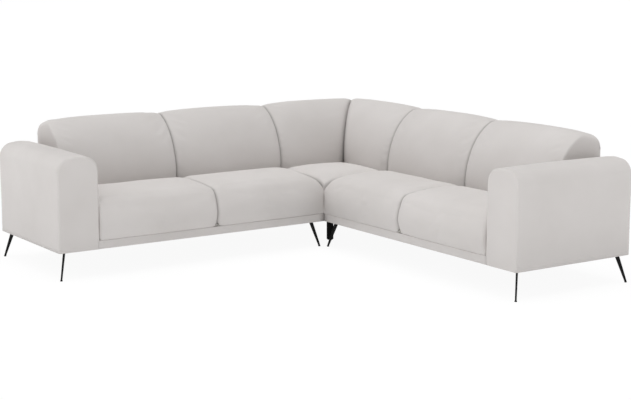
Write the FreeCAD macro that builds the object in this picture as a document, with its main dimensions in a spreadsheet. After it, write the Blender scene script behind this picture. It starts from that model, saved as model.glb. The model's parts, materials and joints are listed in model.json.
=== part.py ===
import FreeCAD, Part
import math
import os
import re
import Sketcher

# A corner sofa of three upholstered modules on the floor: a left wing, a square corner and a right wing.
# Each wing lifts off the corner, whose brackets take the wing's hooks.
# Row frame: origin on the floor under the middle of the sofa's outline, +Z up.
# The outer corner of the backs points to +X +Y, and the inner corner of the seats lies inside it.
# Along a wing, a is the distance out from the inner corner, d the depth from the seat front and z the height.

V = FreeCAD.Vector

# Driving sizes in millimetres, and angles in degrees
SIZES = (
    # Outline
    ("wing_reach", 1810),
    ("sofa_depth", 850),
    ("floor_clearance", 160),
    ("arm_width", 254),
    ("arm_top", 702),
    ("back_top", 833),
    ("seat_top", 460.6),
    ("border_height", 50),
    ("module_gap", 0.6),
    ("cloth_gap", 0.6),
    # Frame boards
    ("frame_board", 30),
    ("ply_board", 18),
    ("thin_ply", 6),
    ("frame_height", 120),
    ("frame_end_gap", 8),
    ("leg_block_size", 92),
    ("leg_block_height", 25),
    ("centre_rail_drop", 20),
    ("dust_cloth", 2),
    # Webbing
    ("strap_thickness", 2),
    ("strap_width", 70),
    ("strap_pitch", 118),
    ("back_strap_width", 60),
    ("back_strap_pitch", 82),
    # Padding
    ("front_roll", 20),
    ("wadding", 14),
    ("arm_wadding", 12),
    ("arm_foam", 6),
    ("arm_top_foam", 50),
    # Seat cushions
    ("seat_bulge", 17),
    ("seat_crown", 10),
    ("seat_nose_height", 66),
    ("seat_nose_depth", 94),
    ("seat_arch", 13.6),
    ("seat_nose_tuck", 3),
    ("seat_roll_depth", 37),
    ("seat_roll_drop", 21.5),
    ("corner_dip", 22),
    ("corner_nose", 55),
    ("corner_seam_drop", 6),
    ("corner_seam_reach", 70),
    ("corner_puff", 16),
    # Back cushions
    ("back_depth", 358),
    ("back_crown", 12),
    ("belly_radius", 466),
    ("roll_radius", 329),
    ("crest_radius", 80),
    ("rear_radius", 45),
    ("belly_turn", 29.6),
    ("roll_turn", 31.8),
    ("top_fall", 14),
    ("rear_seam_drop", 93),
    ("panel_thickness", 10),
    # Back frame
    ("back_foam_depth", 78),
    ("back_frame_knee", 450),
    ("back_frame_lean", 13.6),
    ("back_frame_top", 43),
    ("back_rail_height", 60),
    # Arms
    ("arm_round", 85),
    ("arm_front_edge", 14),
    ("arm_rear_edge", 14),
    ("arm_crown", 4),
    # Legs
    ("leg_inset", 12),
    ("inner_leg_inset", 28),
    ("leg_splay", 40),
    ("leg_foot_width", 13.2),
    ("leg_foot_thickness", 10),
    ("leg_top_width", 26.4),
    ("leg_top_thickness", 12),
    ("leg_sides", 24),
    ("leg_plate", 70),
    ("leg_plate_edge", 24),
    ("leg_plate_thickness", 3),
    ("glide_radius", 7),
    ("glide_height", 5),
    # Round feet of the corner
    ("foot_inset", 150),
    ("foot_radius", 22),
    ("foot_sides", 24),
    ("foot_flange", 84),
    ("foot_flange_thickness", 5),
    ("foot_edge", 6),
    # Hooks and brackets between the modules
    ("hook_sheet", 2.5),
    ("hook_width", 60),
    ("hook_height", 60),
    ("hook_reach", 10),
    ("hook_lip", 36),
    ("hook_play", 0.5),
    ("hook_level", 200),
    ("hook_front", 150),
    ("hook_rear_setback", 80),
)

# Places that follow from the driving sizes
PLACES = (
    ("inner_corner", "(wing_reach - sofa_depth) / 2"),
    ("arm_inner", "wing_reach - arm_width"),
    ("seat_span", "arm_inner / 2"),
    ("back_front", "sofa_depth - back_depth"),
    ("back_frame_front", "back_front + back_foam_depth"),
    ("rear_seam", "back_top - rear_seam_drop"),
    ("hook_rear", "back_frame_front + hook_rear_setback"),
    ("frame_bottom", "floor_clearance + dust_cloth"),
    ("frame_top", "frame_bottom + frame_height"),
    ("end_top", "frame_top + strap_thickness"),
    ("deck", "end_top + strap_thickness"),
    ("border_top", "floor_clearance + border_height"),
    ("seat_bottom", "border_top + cloth_gap"),
    ("rear_face", "sofa_depth - cloth_gap"),
    ("seat_rear", "back_front - back_crown - cloth_gap"),
    ("rail_rear", "sofa_depth - panel_thickness"),
    ("post_rear", "rail_rear - dust_cloth"),
    ("frame_outer", "arm_inner - cloth_gap"),
    ("back_outer", "arm_inner - cloth_gap - wadding"),
    ("ply_front", "back_frame_front + strap_thickness"),
    ("frame_crest", "back_top - back_frame_top"),
    ("arm_box_inner", "arm_inner + arm_wadding + arm_foam"),
    ("arm_box_outer", "wing_reach - arm_wadding - arm_foam"),
    ("arm_box_front", "arm_wadding + arm_foam"),
    ("arm_box_rear", "sofa_depth - arm_wadding * 4 / 3 - arm_foam"),
    ("arm_box_top", "arm_top - arm_wadding - arm_top_foam"),
    ("plate_bottom", "frame_bottom - leg_plate_thickness"),
    ("leg_head", "leg_inset + leg_splay"),
    ("inner_leg_head", "inner_leg_inset + leg_splay"),
    ("foot_rear", "rail_rear - frame_board - leg_block_size / 2"),
    ("shoulder", "frame_crest - back_rail_height"),
    ("lean_run", "(shoulder - back_frame_knee) * tan(back_frame_lean)"),
    ("mitre_post", "ply_front + lean_run + thin_ply"),
)

doc = FreeCAD.newDocument("CornerSofa")
NAMES = {}
NODES = []

# Shares of a cushion's width where its sections lie
CROWN = (0, 0.04, 0.18, 0.5, 0.82, 0.96, 1)
CORNER_CROWN = (0, 0.04, 0.1, 0.18, 0.5, 0.82, 0.96, 1)


def fill_sheet(label, rows, formulas):
    """Write rows of names and values into a spreadsheet, each with an alias."""
    sheet = doc.addObject("Spreadsheet::Sheet", label)
    for number, (alias, value) in enumerate(rows, 1):
        sheet.set(f"A{number}", alias)
        sheet.set(f"B{number}", f"={bound(value)}" if formulas else str(value))
        sheet.setAlias(f"B{number}", alias)
        NAMES[alias] = label
    return sheet


def bound(expression):
    """Point every size name in an expression at the sheet that holds it."""
    return re.sub(r"[a-z_]{3,}", lambda word: f"{NAMES[word[0]]}.{word[0]}" if word[0] in NAMES else word[0],
                  str(expression))


sizes = fill_sheet("Sizes", SIZES, formulas=False)
places = fill_sheet("Places", PLACES, formulas=True)
doc.recompute()


def mm(alias):
    """The value of one size or place."""
    sheet = sizes if NAMES[alias] == "Sizes" else places
    return float(sheet.get(alias))


class Run:
    """A stretch of sofa: a runs along it, d into its depth. Turned runs lie along Y."""

    def __init__(self, sign, turned):
        self.sign = sign
        self.turned = turned

    def at(self, a, d, z):
        """The row-frame point of a place on this run."""
        x, y = self.sign * a, d
        if self.turned:
            x, y = y, -x
        return V(mm("inner_corner") + x, mm("inner_corner") + y, z)

    def low_corner(self, a0, a1, d0, d1):
        """Expressions for the lowest X and Y of a box on this run, and its two lengths."""
        along = f"({a1}) - ({a0})"
        deep = f"({d1}) - ({d0})"
        low = f"({a0})" if self.sign > 0 else f"-({a1})"
        high = f"({a1})" if self.sign > 0 else f"-({a0})"
        if self.turned:
            return f"inner_corner + ({d0})", f"inner_corner - ({high})", deep, along
        return f"inner_corner + ({low})", f"inner_corner + ({d0})", along, deep


LEFT_WING = Run(-1, False)
RIGHT_WING = Run(1, True)
CORNER_LEFT = Run(1, False)
CORNER_RIGHT = Run(-1, True)
WINGS = (("left", LEFT_WING), ("right", RIGHT_WING))
CORNER_SIDES = (("left", CORNER_LEFT), ("right", CORNER_RIGHT))


# Helpers that make document objects

def bind(item, **expressions):
    """Bind an object's properties to expressions on the sizes."""
    for name, expression in expressions.items():
        item.setExpression(name, bound(expression))


def place(item, x, y, z):
    """Bind an object's place in the row frame."""
    item.setExpression("Placement.Base.x", bound(x))
    item.setExpression("Placement.Base.y", bound(y))
    item.setExpression("Placement.Base.z", bound(z))


def board(run, a0, a1, d0, d1, z0, z1, label="Board"):
    """A box between two places along the run, in depth and in height."""
    item = doc.addObject("Part::Box", label)
    x, y, length, width = run.low_corner(a0, a1, d0, d1)
    bind(item, Length=length, Width=width, Height=f"({z1}) - ({z0})")
    place(item, x, y, z0)
    return item


def node(item, label):
    """Keep an object as one sub-part under its name."""
    item.Label = label
    NODES.append(item)
    return item


def group(label, members):
    """One sub-part made of separate pieces."""
    item = doc.addObject("Part::Compound", label)
    item.Links = members
    return node(item, label)


def joined(members, label="Joined"):
    """Pieces welded or moulded into one."""
    item = doc.addObject("Part::MultiFuse", label)
    item.Shapes = members
    return item


def cut(base, tool, label="Trimmed"):
    """One piece with another's space taken out of it."""
    item = doc.addObject("Part::Cut", label)
    item.Base = base
    item.Tool = tool
    return item


def sheet_profile(run, points, a0, a1, label):
    """A body of one outline in depth and height, padded along the run."""
    body = doc.addObject("PartDesign::Body", label)
    plane = [f for f in body.Origin.OriginFeatures if f.Role == "YZ_Plane"][0]
    sketch = body.newObject("Sketcher::SketchObject", f"{label}_outline")
    sketch.AttachmentSupport = [(plane, "")]
    sketch.MapMode = "FlatFace"
    count = len(points)
    for index in range(count):
        angle = 2 * math.pi * index / count
        after = 2 * math.pi * (index + 1) / count
        start = V(500 + 100 * math.cos(angle), 500 + 100 * math.sin(angle), 0)
        end = V(500 + 100 * math.cos(after), 500 + 100 * math.sin(after), 0)
        sketch.addGeometry(Part.LineSegment(start, end), False)
    for index in range(count):
        sketch.addConstraint(Sketcher.Constraint("Coincident", index, 2, (index + 1) % count, 1))
    for index, (deep, high) in enumerate(points):
        for kind, name, expression in (("DistanceX", "deep", deep), ("DistanceY", "high", high)):
            number = sketch.addConstraint(Sketcher.Constraint(kind, -1, 1, index, 1, 500.0))
            sketch.renameConstraint(number, f"{name}{index}")
            sketch.setExpression(f"Constraints.{name}{index}", bound(expression))
    near = f"({a0})" if run.sign > 0 else f"-({a1})"
    sketch.setExpression("AttachmentOffset.Base.z", bound(near))
    pad = body.newObject("PartDesign::Pad", f"{label}_pad")
    pad.Profile = sketch
    pad.setExpression("Length", bound(f"({a1}) - ({a0})"))
    body.Tip = pad
    body.Placement = FreeCAD.Placement(V(), FreeCAD.Rotation(V(0, 0, 1), -90 if run.turned else 0))
    place(body, "inner_corner", "inner_corner", "0")
    return body


def soft(label, shape):
    """A sub-part with a shape lofted from the sizes."""
    item = doc.addObject("Part::Feature", label)
    item.Shape = shape
    item.Placement = FreeCAD.Placement()
    return node(item, label)


# Helpers for lofted forms: an outline is a list of lines and of arcs through three points

def wire(outline, locate):
    """A closed wire from an outline, each point put in space by locate."""
    edges = []
    for points in outline:
        spots = [locate(*point) for point in points]
        if len(spots) == 2:
            edges.append(Part.LineSegment(*spots).toShape())
        else:
            edges.append(Part.Arc(*spots).toShape())
    return Part.Wire(edges)


def loft(wires):
    """A closed solid through a row of wires, ruled from each to the next."""
    solid = Part.makeLoft(wires, True, True)
    if solid.Volume < 0:
        solid.reverse()
    return solid


def prism(run, outline, a0, a1):
    """A straight solid of one outline between two places along the run."""
    face = Part.Face(wire(outline, lambda d, z: run.at(a0, d, z)))
    return face.extrude(run.at(a1, 0, 0) - run.at(a0, 0, 0))


def polygon(points):
    """An outline of straight lines through a list of points."""
    return [(point, points[(index + 1) % len(points)]) for index, point in enumerate(points)]


def box(run, a0, a1, d0, d1, z0, z1):
    """A plain block between two places along the run, in depth and in height."""
    return prism(run, polygon([(d0, z0), (d1, z0), (d1, z1), (d0, z1)]), a0, a1)


def swell(share):
    """How full a cushion is from its seam, 0, to its middle, 1."""
    return math.sin(min(share, 1 - share) * math.pi) ** 0.5


# Back cushions

def chain(start, heading, turns):
    """Tangent arcs turning right: each turn is a radius and an angle, and a zero angle is a line."""
    outline = []
    d, z = start
    for radius, turn in turns:
        if turn == 0:
            end = (d + radius * math.cos(heading), z + radius * math.sin(heading))
            outline.append(((d, z), end))
        else:
            half, after = heading - turn / 2, heading - turn
            middle = (d + radius * (math.sin(heading) - math.sin(half)),
                      z + radius * (math.cos(half) - math.cos(heading)))
            end = (d + radius * (math.sin(heading) - math.sin(after)),
                   z + radius * (math.cos(after) - math.cos(heading)))
            outline.append(((d, z), middle, end))
            heading = after
        d, z = end
    return outline


def back_outline(proud, bottom, rear):
    """The rolled back seen from its end, standing proud of the seam by a distance."""
    belly, roll, fall = (math.radians(mm(name)) for name in ("belly_turn", "roll_turn", "top_fall"))
    upright = math.pi / 2
    crest = upright - belly - roll
    radii = [mm("belly_radius") + 3 * proud, mm("roll_radius") + 2 * proud, mm("crest_radius") + proud / 2,
             mm("rear_radius") + min(proud, 0)]
    turns = [belly, roll, crest + fall, upright - fall]
    heading, across, rise = upright, 0.0, 0.0
    for number, (radius, turn) in enumerate(zip(radii, turns)):
        across += radius * (math.sin(heading) - math.sin(heading - turn))
        level = max(heading - turn, 0)
        if number < 3:
            rise += radius * (math.cos(level) - math.cos(heading))
        heading -= turn
    front = mm("back_front") - proud
    upward = mm("back_top") + proud - bottom - rise
    backward = (rear - front - across) / math.cos(fall)
    outline = chain((front, bottom), upright, [
        (upward, 0), (radii[0], turns[0]), (radii[1], turns[1]), (radii[2], turns[2]),
        (backward, 0), (radii[3], turns[3])])
    last = outline[-1][-1]
    outline.append((last, (last[0], bottom)))
    outline.append(((last[0], bottom), (front, bottom)))
    return outline


def back_hollow(run, a0, a1):
    """The space inside a back cover, for its foam and frame."""
    inset = mm("wadding")
    bottom = mm("deck") - inset
    return prism(run, back_outline(-inset, bottom, mm("rail_rear")), a0, a1)


def back_core(run, a0, a1):
    """The space of the back frame and its straps inside the foam."""
    return prism(run, polygon(back_core_points(mm("back_frame_front"))), a0, a1)


def back_core_points(front):
    """The leaning outline of the back frame behind a front, from the seat deck to its crest."""
    knee, shoulder, crest = mm("back_frame_knee"), mm("shoulder"), mm("frame_crest")
    leaned = front + mm("lean_run")
    rear, floor = mm("rail_rear"), mm("frame_top")
    return [(front, floor), (front, knee), (leaned, shoulder), (leaned + mm("ply_board") * 2, crest),
            (rear - mm("ply_board") * 3, crest), (rear, crest - mm("ply_board") * 2), (rear, floor)]


def back_cover(run, a0, a1, closed_end):
    """A crowned back cover, open at its seams and closed where its end shows."""
    rear, deck = mm("rear_face"), mm("deck")
    full = mm("back_crown")
    wires = []
    for spot in CROWN:
        proud = full * swell(spot)
        if closed_end and spot > 0.9:
            proud -= (spot - 0.9) / 0.1 * mm("cloth_gap") * 8
        a = a0 + (a1 - a0) * spot
        outline = back_outline(proud, deck, rear)
        wires.append(wire(outline, lambda d, z, a=a: run.at(a, d, z)))
    end = a1 - mm("wadding") if closed_end else a1 + 1
    form = loft(wires)
    form = form.cut(back_hollow(run, a0 - 1, end))
    return form.cut(box(run, a0 - 1, a1 + 1, mm("rail_rear") - mm("wadding"), mm("sofa_depth"),
                        deck - 1, mm("rear_seam")))


def back_foam(run, a0, a1):
    """The foam over the front and top of the back frame."""
    foam = back_hollow(run, a0, a1)
    foam = foam.cut(back_core(run, a0 - 1, a1 + 1))
    return foam.cut(box(run, a0 - 1, a1 + 1, 0, mm("sofa_depth"), 0, mm("deck")))


# Seat cushions

def seat_outline(nose, front, lift, bottom):
    """A seat cushion seen from its end: nose 0 is the upright inner corner, 1 the full rolled front."""
    rear = mm("seat_rear")
    edge = mm("seat_top") - mm("seat_arch")
    shoulder = edge - mm("seat_nose_height")
    full = [(-front, bottom), (-mm("seat_bulge") - front, (bottom + shoulder) / 2),
            (mm("seat_nose_tuck") - front, shoulder + lift / 2),
            (mm("seat_roll_depth") - front / 2, edge - mm("seat_roll_drop") + lift * 0.8),
            (mm("seat_nose_depth"), edge + lift),
            ((mm("seat_nose_depth") + rear) / 2, mm("seat_top") + lift), (rear, edge + lift / 2)]
    dip = mm("corner_dip")
    upright = [(0.5, bottom), (0.3, (bottom + shoulder) / 2), (2, shoulder - 11),
               (25, shoulder + 16), (mm("seat_nose_depth"), edge - dip - 5),
               ((mm("seat_nose_depth") + rear) / 2, edge - dip + 9), (rear, edge - 9)]
    points = [(u[0] + (f[0] - u[0]) * nose, u[1] + (f[1] - u[1]) * nose) for u, f in zip(upright, full)]
    deck, roll = mm("deck"), mm("front_roll")
    return [tuple(points[0:3]), tuple(points[2:5]), tuple(points[4:7]),
            (points[6], (rear, deck)), ((rear, deck), (roll, deck)), ((roll, deck), (roll, bottom)),
            ((roll, bottom), points[0])]


def seat_foam_outline():
    """The foam block inside a seat cover."""
    inset = mm("wadding")
    edge = mm("seat_top") - mm("seat_arch") - inset - mm("corner_dip") / 2
    rear = mm("seat_rear") - inset
    deck = mm("deck")
    nose = mm("seat_nose_height")
    return polygon([(inset, deck), (inset, edge - nose), (inset + nose * 0.7, edge - inset),
                    (mm("seat_nose_depth") + inset, edge), (rear, edge), (rear, deck)])


def seat_cover(run, a0, a1, inner_corner):
    """A crowned seat cover with a rolled front, its hollow filled by the foam."""
    bottom = mm("seat_bottom")
    wires = []
    for spot in CORNER_CROWN if inner_corner else CROWN:
        a = a0 + (a1 - a0) * spot
        lift = mm("seat_crown") * swell(spot)
        nose = 1.0
        if inner_corner:
            nose = 1 - max(0, 1 - spot * 5.5) ** 2
        outline = seat_outline(nose, 0.8 * lift * nose, lift, bottom)
        wires.append(wire(outline, lambda d, z, a=a: run.at(a, d, z)))
    return loft(wires).cut(seat_foam(run, a0, a1))


def seat_foam(run, a0, a1):
    """The foam block of one seat."""
    inset = mm("wadding")
    return prism(run, seat_foam_outline(), a0 + inset, a1 - inset)


# Arms

def arm_outline(inset, drop, proud):
    """An arm seen from its end, its top corners rounded, drawn in by an inset and lowered by a drop."""
    inner, outer = mm("arm_inner") + inset, mm("wing_reach") - inset - mm("cloth_gap")
    top, bottom = mm("arm_top") - drop, mm("floor_clearance")
    round_over = mm("arm_round") - inset / 2
    slant = round_over * (1 - math.sqrt(0.5))
    middle = (inner + outer) / 2
    return [((inner, bottom), (inner, top - round_over)),
            ((inner, top - round_over), (inner + slant, top - slant), (inner + round_over, top)),
            ((inner + round_over, top), (middle, top + proud), (outer - round_over, top)),
            ((outer - round_over, top), (outer - slant, top - slant), (outer, top - round_over)),
            ((outer, top - round_over), (outer, bottom)),
            ((outer, bottom), (inner, bottom))]


def arm_form(run):
    """The whole rounded arm."""
    front, rear = mm("arm_front_edge"), mm("arm_rear_edge")
    length = mm("rear_face")
    wires = []
    for angle in (0, 30, 60, 90):
        lag, lead = 1 - math.sin(math.radians(angle)), 1 - math.cos(math.radians(angle))
        wires.append(arm_section(run, front * lead, front * lag, front * lag, mm("arm_crown") * (0.9 - lag * 0.6)))
    wires.append(arm_section(run, length * 0.45, 0, -mm("arm_crown"), mm("arm_crown")))
    for angle in (90, 60, 30, 0):
        lag, lead = 1 - math.sin(math.radians(angle)), 1 - math.cos(math.radians(angle))
        wires.append(arm_section(run, length - rear * lead, rear * 0.75 * lag, rear * lag,
                                 mm("arm_crown") * (0.9 - lag * 0.6)))
    return loft(wires)


def arm_section(run, d, inset, drop, proud):
    """One closed section across the arm."""
    return wire(arm_outline(inset, drop, proud), lambda a, z: run.at(a, d, z))


def arm_hollow(run, bottom):
    """The space inside the arm cover."""
    inset = mm("arm_wadding")
    inner, outer = mm("arm_inner") + inset, mm("wing_reach") - inset
    top = mm("arm_top") - inset
    round_over = mm("arm_round") - inset / 2
    slant = round_over * (1 - math.sqrt(0.5))
    outline = [((inner, bottom), (inner, top - round_over)),
               ((inner, top - round_over), (inner + slant, top - slant), (inner + round_over, top)),
               ((inner + round_over, top), (outer - round_over, top)),
               ((outer - round_over, top), (outer - slant, top - slant), (outer, top - round_over)),
               ((outer, top - round_over), (outer, bottom)),
               ((outer, bottom), (inner, bottom))]
    face = Part.Face(wire(outline, lambda a, z: run.at(a, inset, z)))
    return face.extrude(run.at(0, mm("sofa_depth") - inset * 7 / 3, 0) - run.at(0, 0, 0))


# Legs and feet

def splayed_leg(label, run, corner_a, corner_d, out_a, out_d):
    """A flat, tapered leg under one corner of a wing, splayed outward, with its welded plate."""
    foot_inset, head_inset = ("leg_inset", "leg_head") if out_a > 0 else ("inner_leg_inset", "inner_leg_head")
    rings = []
    for height, inset_a, inset_d, width, thickness in (
            ("glide_height", foot_inset, "leg_inset", "leg_foot_width", "leg_foot_thickness"),
            ("plate_bottom", head_inset, "leg_head", "leg_top_width", "leg_top_thickness")):
        a = corner_value(corner_a) - out_a * mm(inset_a)
        d = corner_value(corner_d) - out_d * mm(inset_d)
        rings.append(oval(run, a, d, mm(height), out_a, out_d, mm(width), mm(thickness)))
    rod = doc.addObject("Part::Feature", f"{label}_rod")
    rod.Shape = many_sided(*rings)
    rod.Placement = FreeCAD.Placement()
    ends = [inward_span(corner, out, "leg_plate_edge", "leg_plate_edge + leg_plate")
            for corner, out in ((corner_a, out_a), (corner_d, out_d))]
    plate = board(run, *ends[0], *ends[1], "plate_bottom", "frame_bottom", f"{label}_plate")
    return node(joined([rod, plate], label), label)


def corner_value(name):
    """The distance that a corner of a wing is named by."""
    return 0.0 if name == "0" else mm(name)


def oval(run, a, d, z, out_a, out_d, width, thickness):
    """Points round an oval about a place, its long way along the splay."""
    points = []
    count = round(mm("leg_sides"))
    for number in range(count):
        angle = 2 * math.pi * number / count
        along = width / 2 * math.cos(angle) * math.sqrt(0.5)
        across = thickness / 2 * math.sin(angle) * math.sqrt(0.5)
        points.append(run.at(a + out_a * along - out_d * across, d + out_d * along + out_a * across, z))
    return points


def many_sided(low, high):
    """A solid of flat sides between two level rings of points."""
    faces = [Part.Face(Part.makePolygon(ring + ring[:1])) for ring in (low, high)]
    for number in range(len(low)):
        after = (number + 1) % len(low)
        for corners in ((low[number], low[after], high[after]), (low[number], high[after], high[number])):
            faces.append(Part.Face(Part.makePolygon([*corners, corners[0]])))
    solid = Part.Solid(Part.Shell(faces))
    if solid.Volume < 0:
        solid.reverse()
    return solid


def inward_span(corner, out, near, far):
    """The two ends of a span measured inward from one side of a module, the lower one first."""
    ends = f"({corner}) - ({out}) * ({near})", f"({corner}) - ({out}) * ({far})"
    return ends[::-1] if out > 0 else ends


def glide(run, corner_a, corner_d, out_a, out_d):
    """The moulded glide under one leg."""
    inset_a = "leg_inset" if out_a > 0 else "inner_leg_inset"
    a, d = f"({corner_a}) - ({out_a}) * {inset_a}", f"({corner_d}) - ({out_d}) * leg_inset"
    x, y, _, _ = run.low_corner(a, a, d, d)
    item = doc.addObject("Part::Cylinder", "Glide")
    bind(item, Radius="glide_radius", Height="glide_height")
    place(item, x, y, "0")
    return item


def round_foot(label, u, v):
    """A short moulded foot of the corner module with a bevelled lower rim and a flange on top."""
    column = doc.addObject("Part::Prism", f"{label}_column")
    bind(column, Polygon="foot_sides", Circumradius="foot_radius", Height="frame_bottom - foot_flange_thickness")
    x, y, _, _ = CORNER_LEFT.low_corner(u, u, v, v)
    place(column, x, y, "0")
    bevelled = doc.addObject("Part::Chamfer", f"{label}_bevelled")
    bevelled.Base = column
    doc.recompute()
    bevel = mm("foot_edge")
    bevelled.Edges = [(number, bevel, bevel) for number, edge in enumerate(column.Shape.Edges, 1)
                      if edge.BoundBox.ZMax < 1]
    reach = "foot_flange / 2"
    flange = board(CORNER_LEFT, f"{u} - {reach}", f"{u} + {reach}", f"{v} - {reach}", f"{v} + {reach}",
                   "frame_bottom - foot_flange_thickness", "frame_bottom", f"{label}_flange")
    return node(joined([bevelled, flange], label), label)


# Wing modules

def wing_frame(name, run):
    """Front, middle and rear rails, cross rails and the blocks that take the legs."""
    rail = "frame_board"
    middle = f"back_frame_front - {rail}"
    rear = f"rail_rear - {rail}"
    outer = "frame_outer"
    centre = f"seat_span - {rail} / 2"
    boards = [
        board(run, "frame_end_gap", outer, "front_roll", f"front_roll + {rail}", "frame_bottom", "frame_top"),
        board(run, "frame_end_gap", outer, middle, "back_frame_front", "frame_bottom", "frame_top"),
        board(run, "frame_end_gap", outer, rear, "rail_rear", "frame_bottom", "frame_top"),
    ]
    for a0, top in (("frame_end_gap", "end_top"), (centre, "frame_top - centre_rail_drop"),
                    (f"{outer} - {rail}", "end_top")):
        a1 = f"{a0} + {rail}"
        boards.append(board(run, a0, a1, f"front_roll + {rail}", middle, "frame_bottom", top))
        boards.append(board(run, a0, a1, "back_frame_front", rear, "frame_bottom", "frame_top"))
    block_top = "frame_bottom + leg_block_height"
    near = f"frame_end_gap + {rail}"
    inner, out = "arm_box_inner + ply_board", "arm_box_outer - ply_board"
    boards.append(board(run, near, f"{near} + leg_block_size", f"front_roll + {rail}",
                        f"front_roll + {rail} + leg_block_size", "frame_bottom", block_top))
    boards.append(board(run, near, f"{near} + leg_block_size", f"{rear} - leg_block_size", rear,
                        "frame_bottom", block_top))
    front, back = "arm_box_front + ply_board", "arm_box_rear - ply_board"
    boards.append(board(run, inner, out, front, f"{front} + leg_block_size", "frame_bottom", block_top))
    boards.append(board(run, inner, out, f"{back} - leg_block_size", back, "frame_bottom", block_top))
    group(f"{name}_seat_frame", boards)


def wing_webbing(name, run):
    """Elastic straps over the seat frame: crosswise ones below, two lengthwise ones above."""
    straps = []
    first = "frame_end_gap + frame_board + strap_width / 2"
    usable = mm("frame_outer") - mm("frame_end_gap") - 2 * mm("frame_board")
    count = int(usable // mm("strap_pitch"))
    for number in range(count):
        middle = f"{first} + {number} * strap_pitch"
        straps.append(board(run, f"{middle} - strap_width / 2", f"{middle} + strap_width / 2", "front_roll",
                            "back_frame_front", "frame_top", "end_top", "Strap"))
    for share in (1 / 3, 2 / 3):
        middle = f"front_roll + (back_frame_front - front_roll) * {share}"
        straps.append(board(run, "frame_end_gap", "frame_outer", f"{middle} - strap_width / 2",
                            f"{middle} + strap_width / 2", "end_top", "deck", "Strap"))
    group(f"{name}_seat_webbing", straps)


def back_board_points():
    """The ply boards' outline behind the straps, as expressions."""
    return [("ply_front", "frame_top"), ("ply_front", "back_frame_knee"), ("ply_front + lean_run", "shoulder"),
            ("ply_front + lean_run + ply_board * 2 - strap_thickness", "frame_crest"),
            ("post_rear - ply_board * 3", "frame_crest"),
            ("post_rear", "frame_crest - ply_board * 2"), ("post_rear", "frame_top")]


def back_rails(run, spans, mitred):
    """Top, lumbar and rear rails between the ply boards."""
    rails = []
    for a0, a1 in spans:
        far = (f"{a1} + (post_rear - frame_board - ply_front)", f"{a1} + (post_rear - frame_board - ply_front)")
        top_end, rear_end = far if mitred else (a1, a1)
        rails.append(board(run, a0, top_end, "post_rear - ply_board * 3 - back_rail_height",
                           "post_rear - ply_board * 3", "frame_crest - frame_board", "frame_crest", "TopRail"))
        rails.append(board(run, a0, a1, "ply_front", "ply_front + frame_board",
                           "back_frame_knee - back_rail_height", "back_frame_knee", "LumbarRail"))
        rails.append(board(run, a0, rear_end, "post_rear - frame_board", "post_rear",
                           "frame_crest - ply_board * 2 - back_rail_height", "frame_crest - ply_board * 2",
                           "RearRail"))
    return rails


def wing_back_frame(name, run):
    """Three shaped ply boards with rails between them."""
    starts = ["frame_end_gap", "seat_span - ply_board / 2", "back_outer - ply_board"]
    pieces = [sheet_profile(run, back_board_points(), a0, f"{a0} + ply_board", f"{name}_back_board_{number}")
              for number, a0 in enumerate(starts)]
    spans = [(f"{starts[0]} + ply_board", starts[1]), (f"{starts[1]} + ply_board", starts[2])]
    pieces += back_rails(run, spans, mitred=False)
    group(f"{name}_back_frame", pieces)


def strap_points(low, high):
    """The outline of a strap that lies on the leaning front of the back frame."""
    lean = "tan(back_frame_lean)"
    points = []
    for front, level in (("back_frame_front", low), ("ply_front", low), ("ply_front", high),
                         ("back_frame_front", high)):
        points.append((f"{front} + ({level} - back_frame_knee) * {lean}", level))
    return points


def wing_back_straps(name, run):
    """Elastic straps across the leaning front of the back frame."""
    straps = []
    room = mm("shoulder") - mm("back_frame_knee")
    count = int(room // mm("back_strap_pitch"))
    for number in range(count):
        low = f"(back_frame_knee + {number} * back_strap_pitch)"
        high = f"(back_frame_knee + {number} * back_strap_pitch + back_strap_width)"
        straps.append(sheet_profile(run, strap_points(low, high), "frame_end_gap", "back_outer",
                                    f"{name}_back_strap_{number}"))
    group(f"{name}_back_straps", straps)


def arm(name, run):
    """The arm's board box, its foam and its rounded cover."""
    inner, outer = "arm_box_inner", "arm_box_outer"
    front, rear, top = "arm_box_front", "arm_box_rear", "arm_box_top"
    ply = "ply_board"
    group(f"{name}_arm_frame", [
        board(run, inner, f"{inner} + {ply}", front, rear, "frame_bottom", top),
        board(run, f"{outer} - {ply}", outer, front, rear, "frame_bottom", top),
        board(run, f"{inner} + {ply}", f"{outer} - {ply}", front, f"{front} + {ply}", "frame_bottom", top),
        board(run, f"{inner} + {ply}", f"{outer} - {ply}", f"{rear} - {ply}", rear, "frame_bottom", top),
        board(run, f"{inner} + {ply}", f"{outer} - {ply}", f"{front} + {ply}", f"{rear} - {ply}",
              f"{top} - {ply}", top),
    ])
    core = box(run, mm(inner), mm(outer), mm(front), mm(rear), 0, mm(top))
    soft(f"{name}_arm_padding", arm_hollow(run, mm("frame_bottom")).cut(core))
    soft(f"{name}_arm_cover", arm_form(run).cut(arm_hollow(run, 0)))


def wing_cushions(name, run):
    """The two seats and two backs of a wing, each a cover over foam."""
    gap, half = mm("cloth_gap") / 2, mm("seat_span")
    start, end = mm("module_gap"), mm("frame_outer")
    spans = (("inner", start, half - gap), ("outer", half + gap, end))
    foams = [seat_foam(run, a0, a1) for _, a0, a1 in spans]
    soft(f"{name}_seat_foams", Part.makeCompound(foams))
    for place_name, a0, a1 in spans:
        soft(f"{name}_{place_name}_seat", seat_cover(run, a0, a1, place_name == "inner"))
    back_end = mm("back_outer")
    foams = [back_foam(run, a0, min(a1, back_end)) for _, a0, a1 in spans]
    soft(f"{name}_back_foams", Part.makeCompound(foams))
    for place_name, a0, a1 in spans:
        soft(f"{name}_{place_name}_back", back_cover(run, a0, a1, place_name == "outer"))


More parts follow.
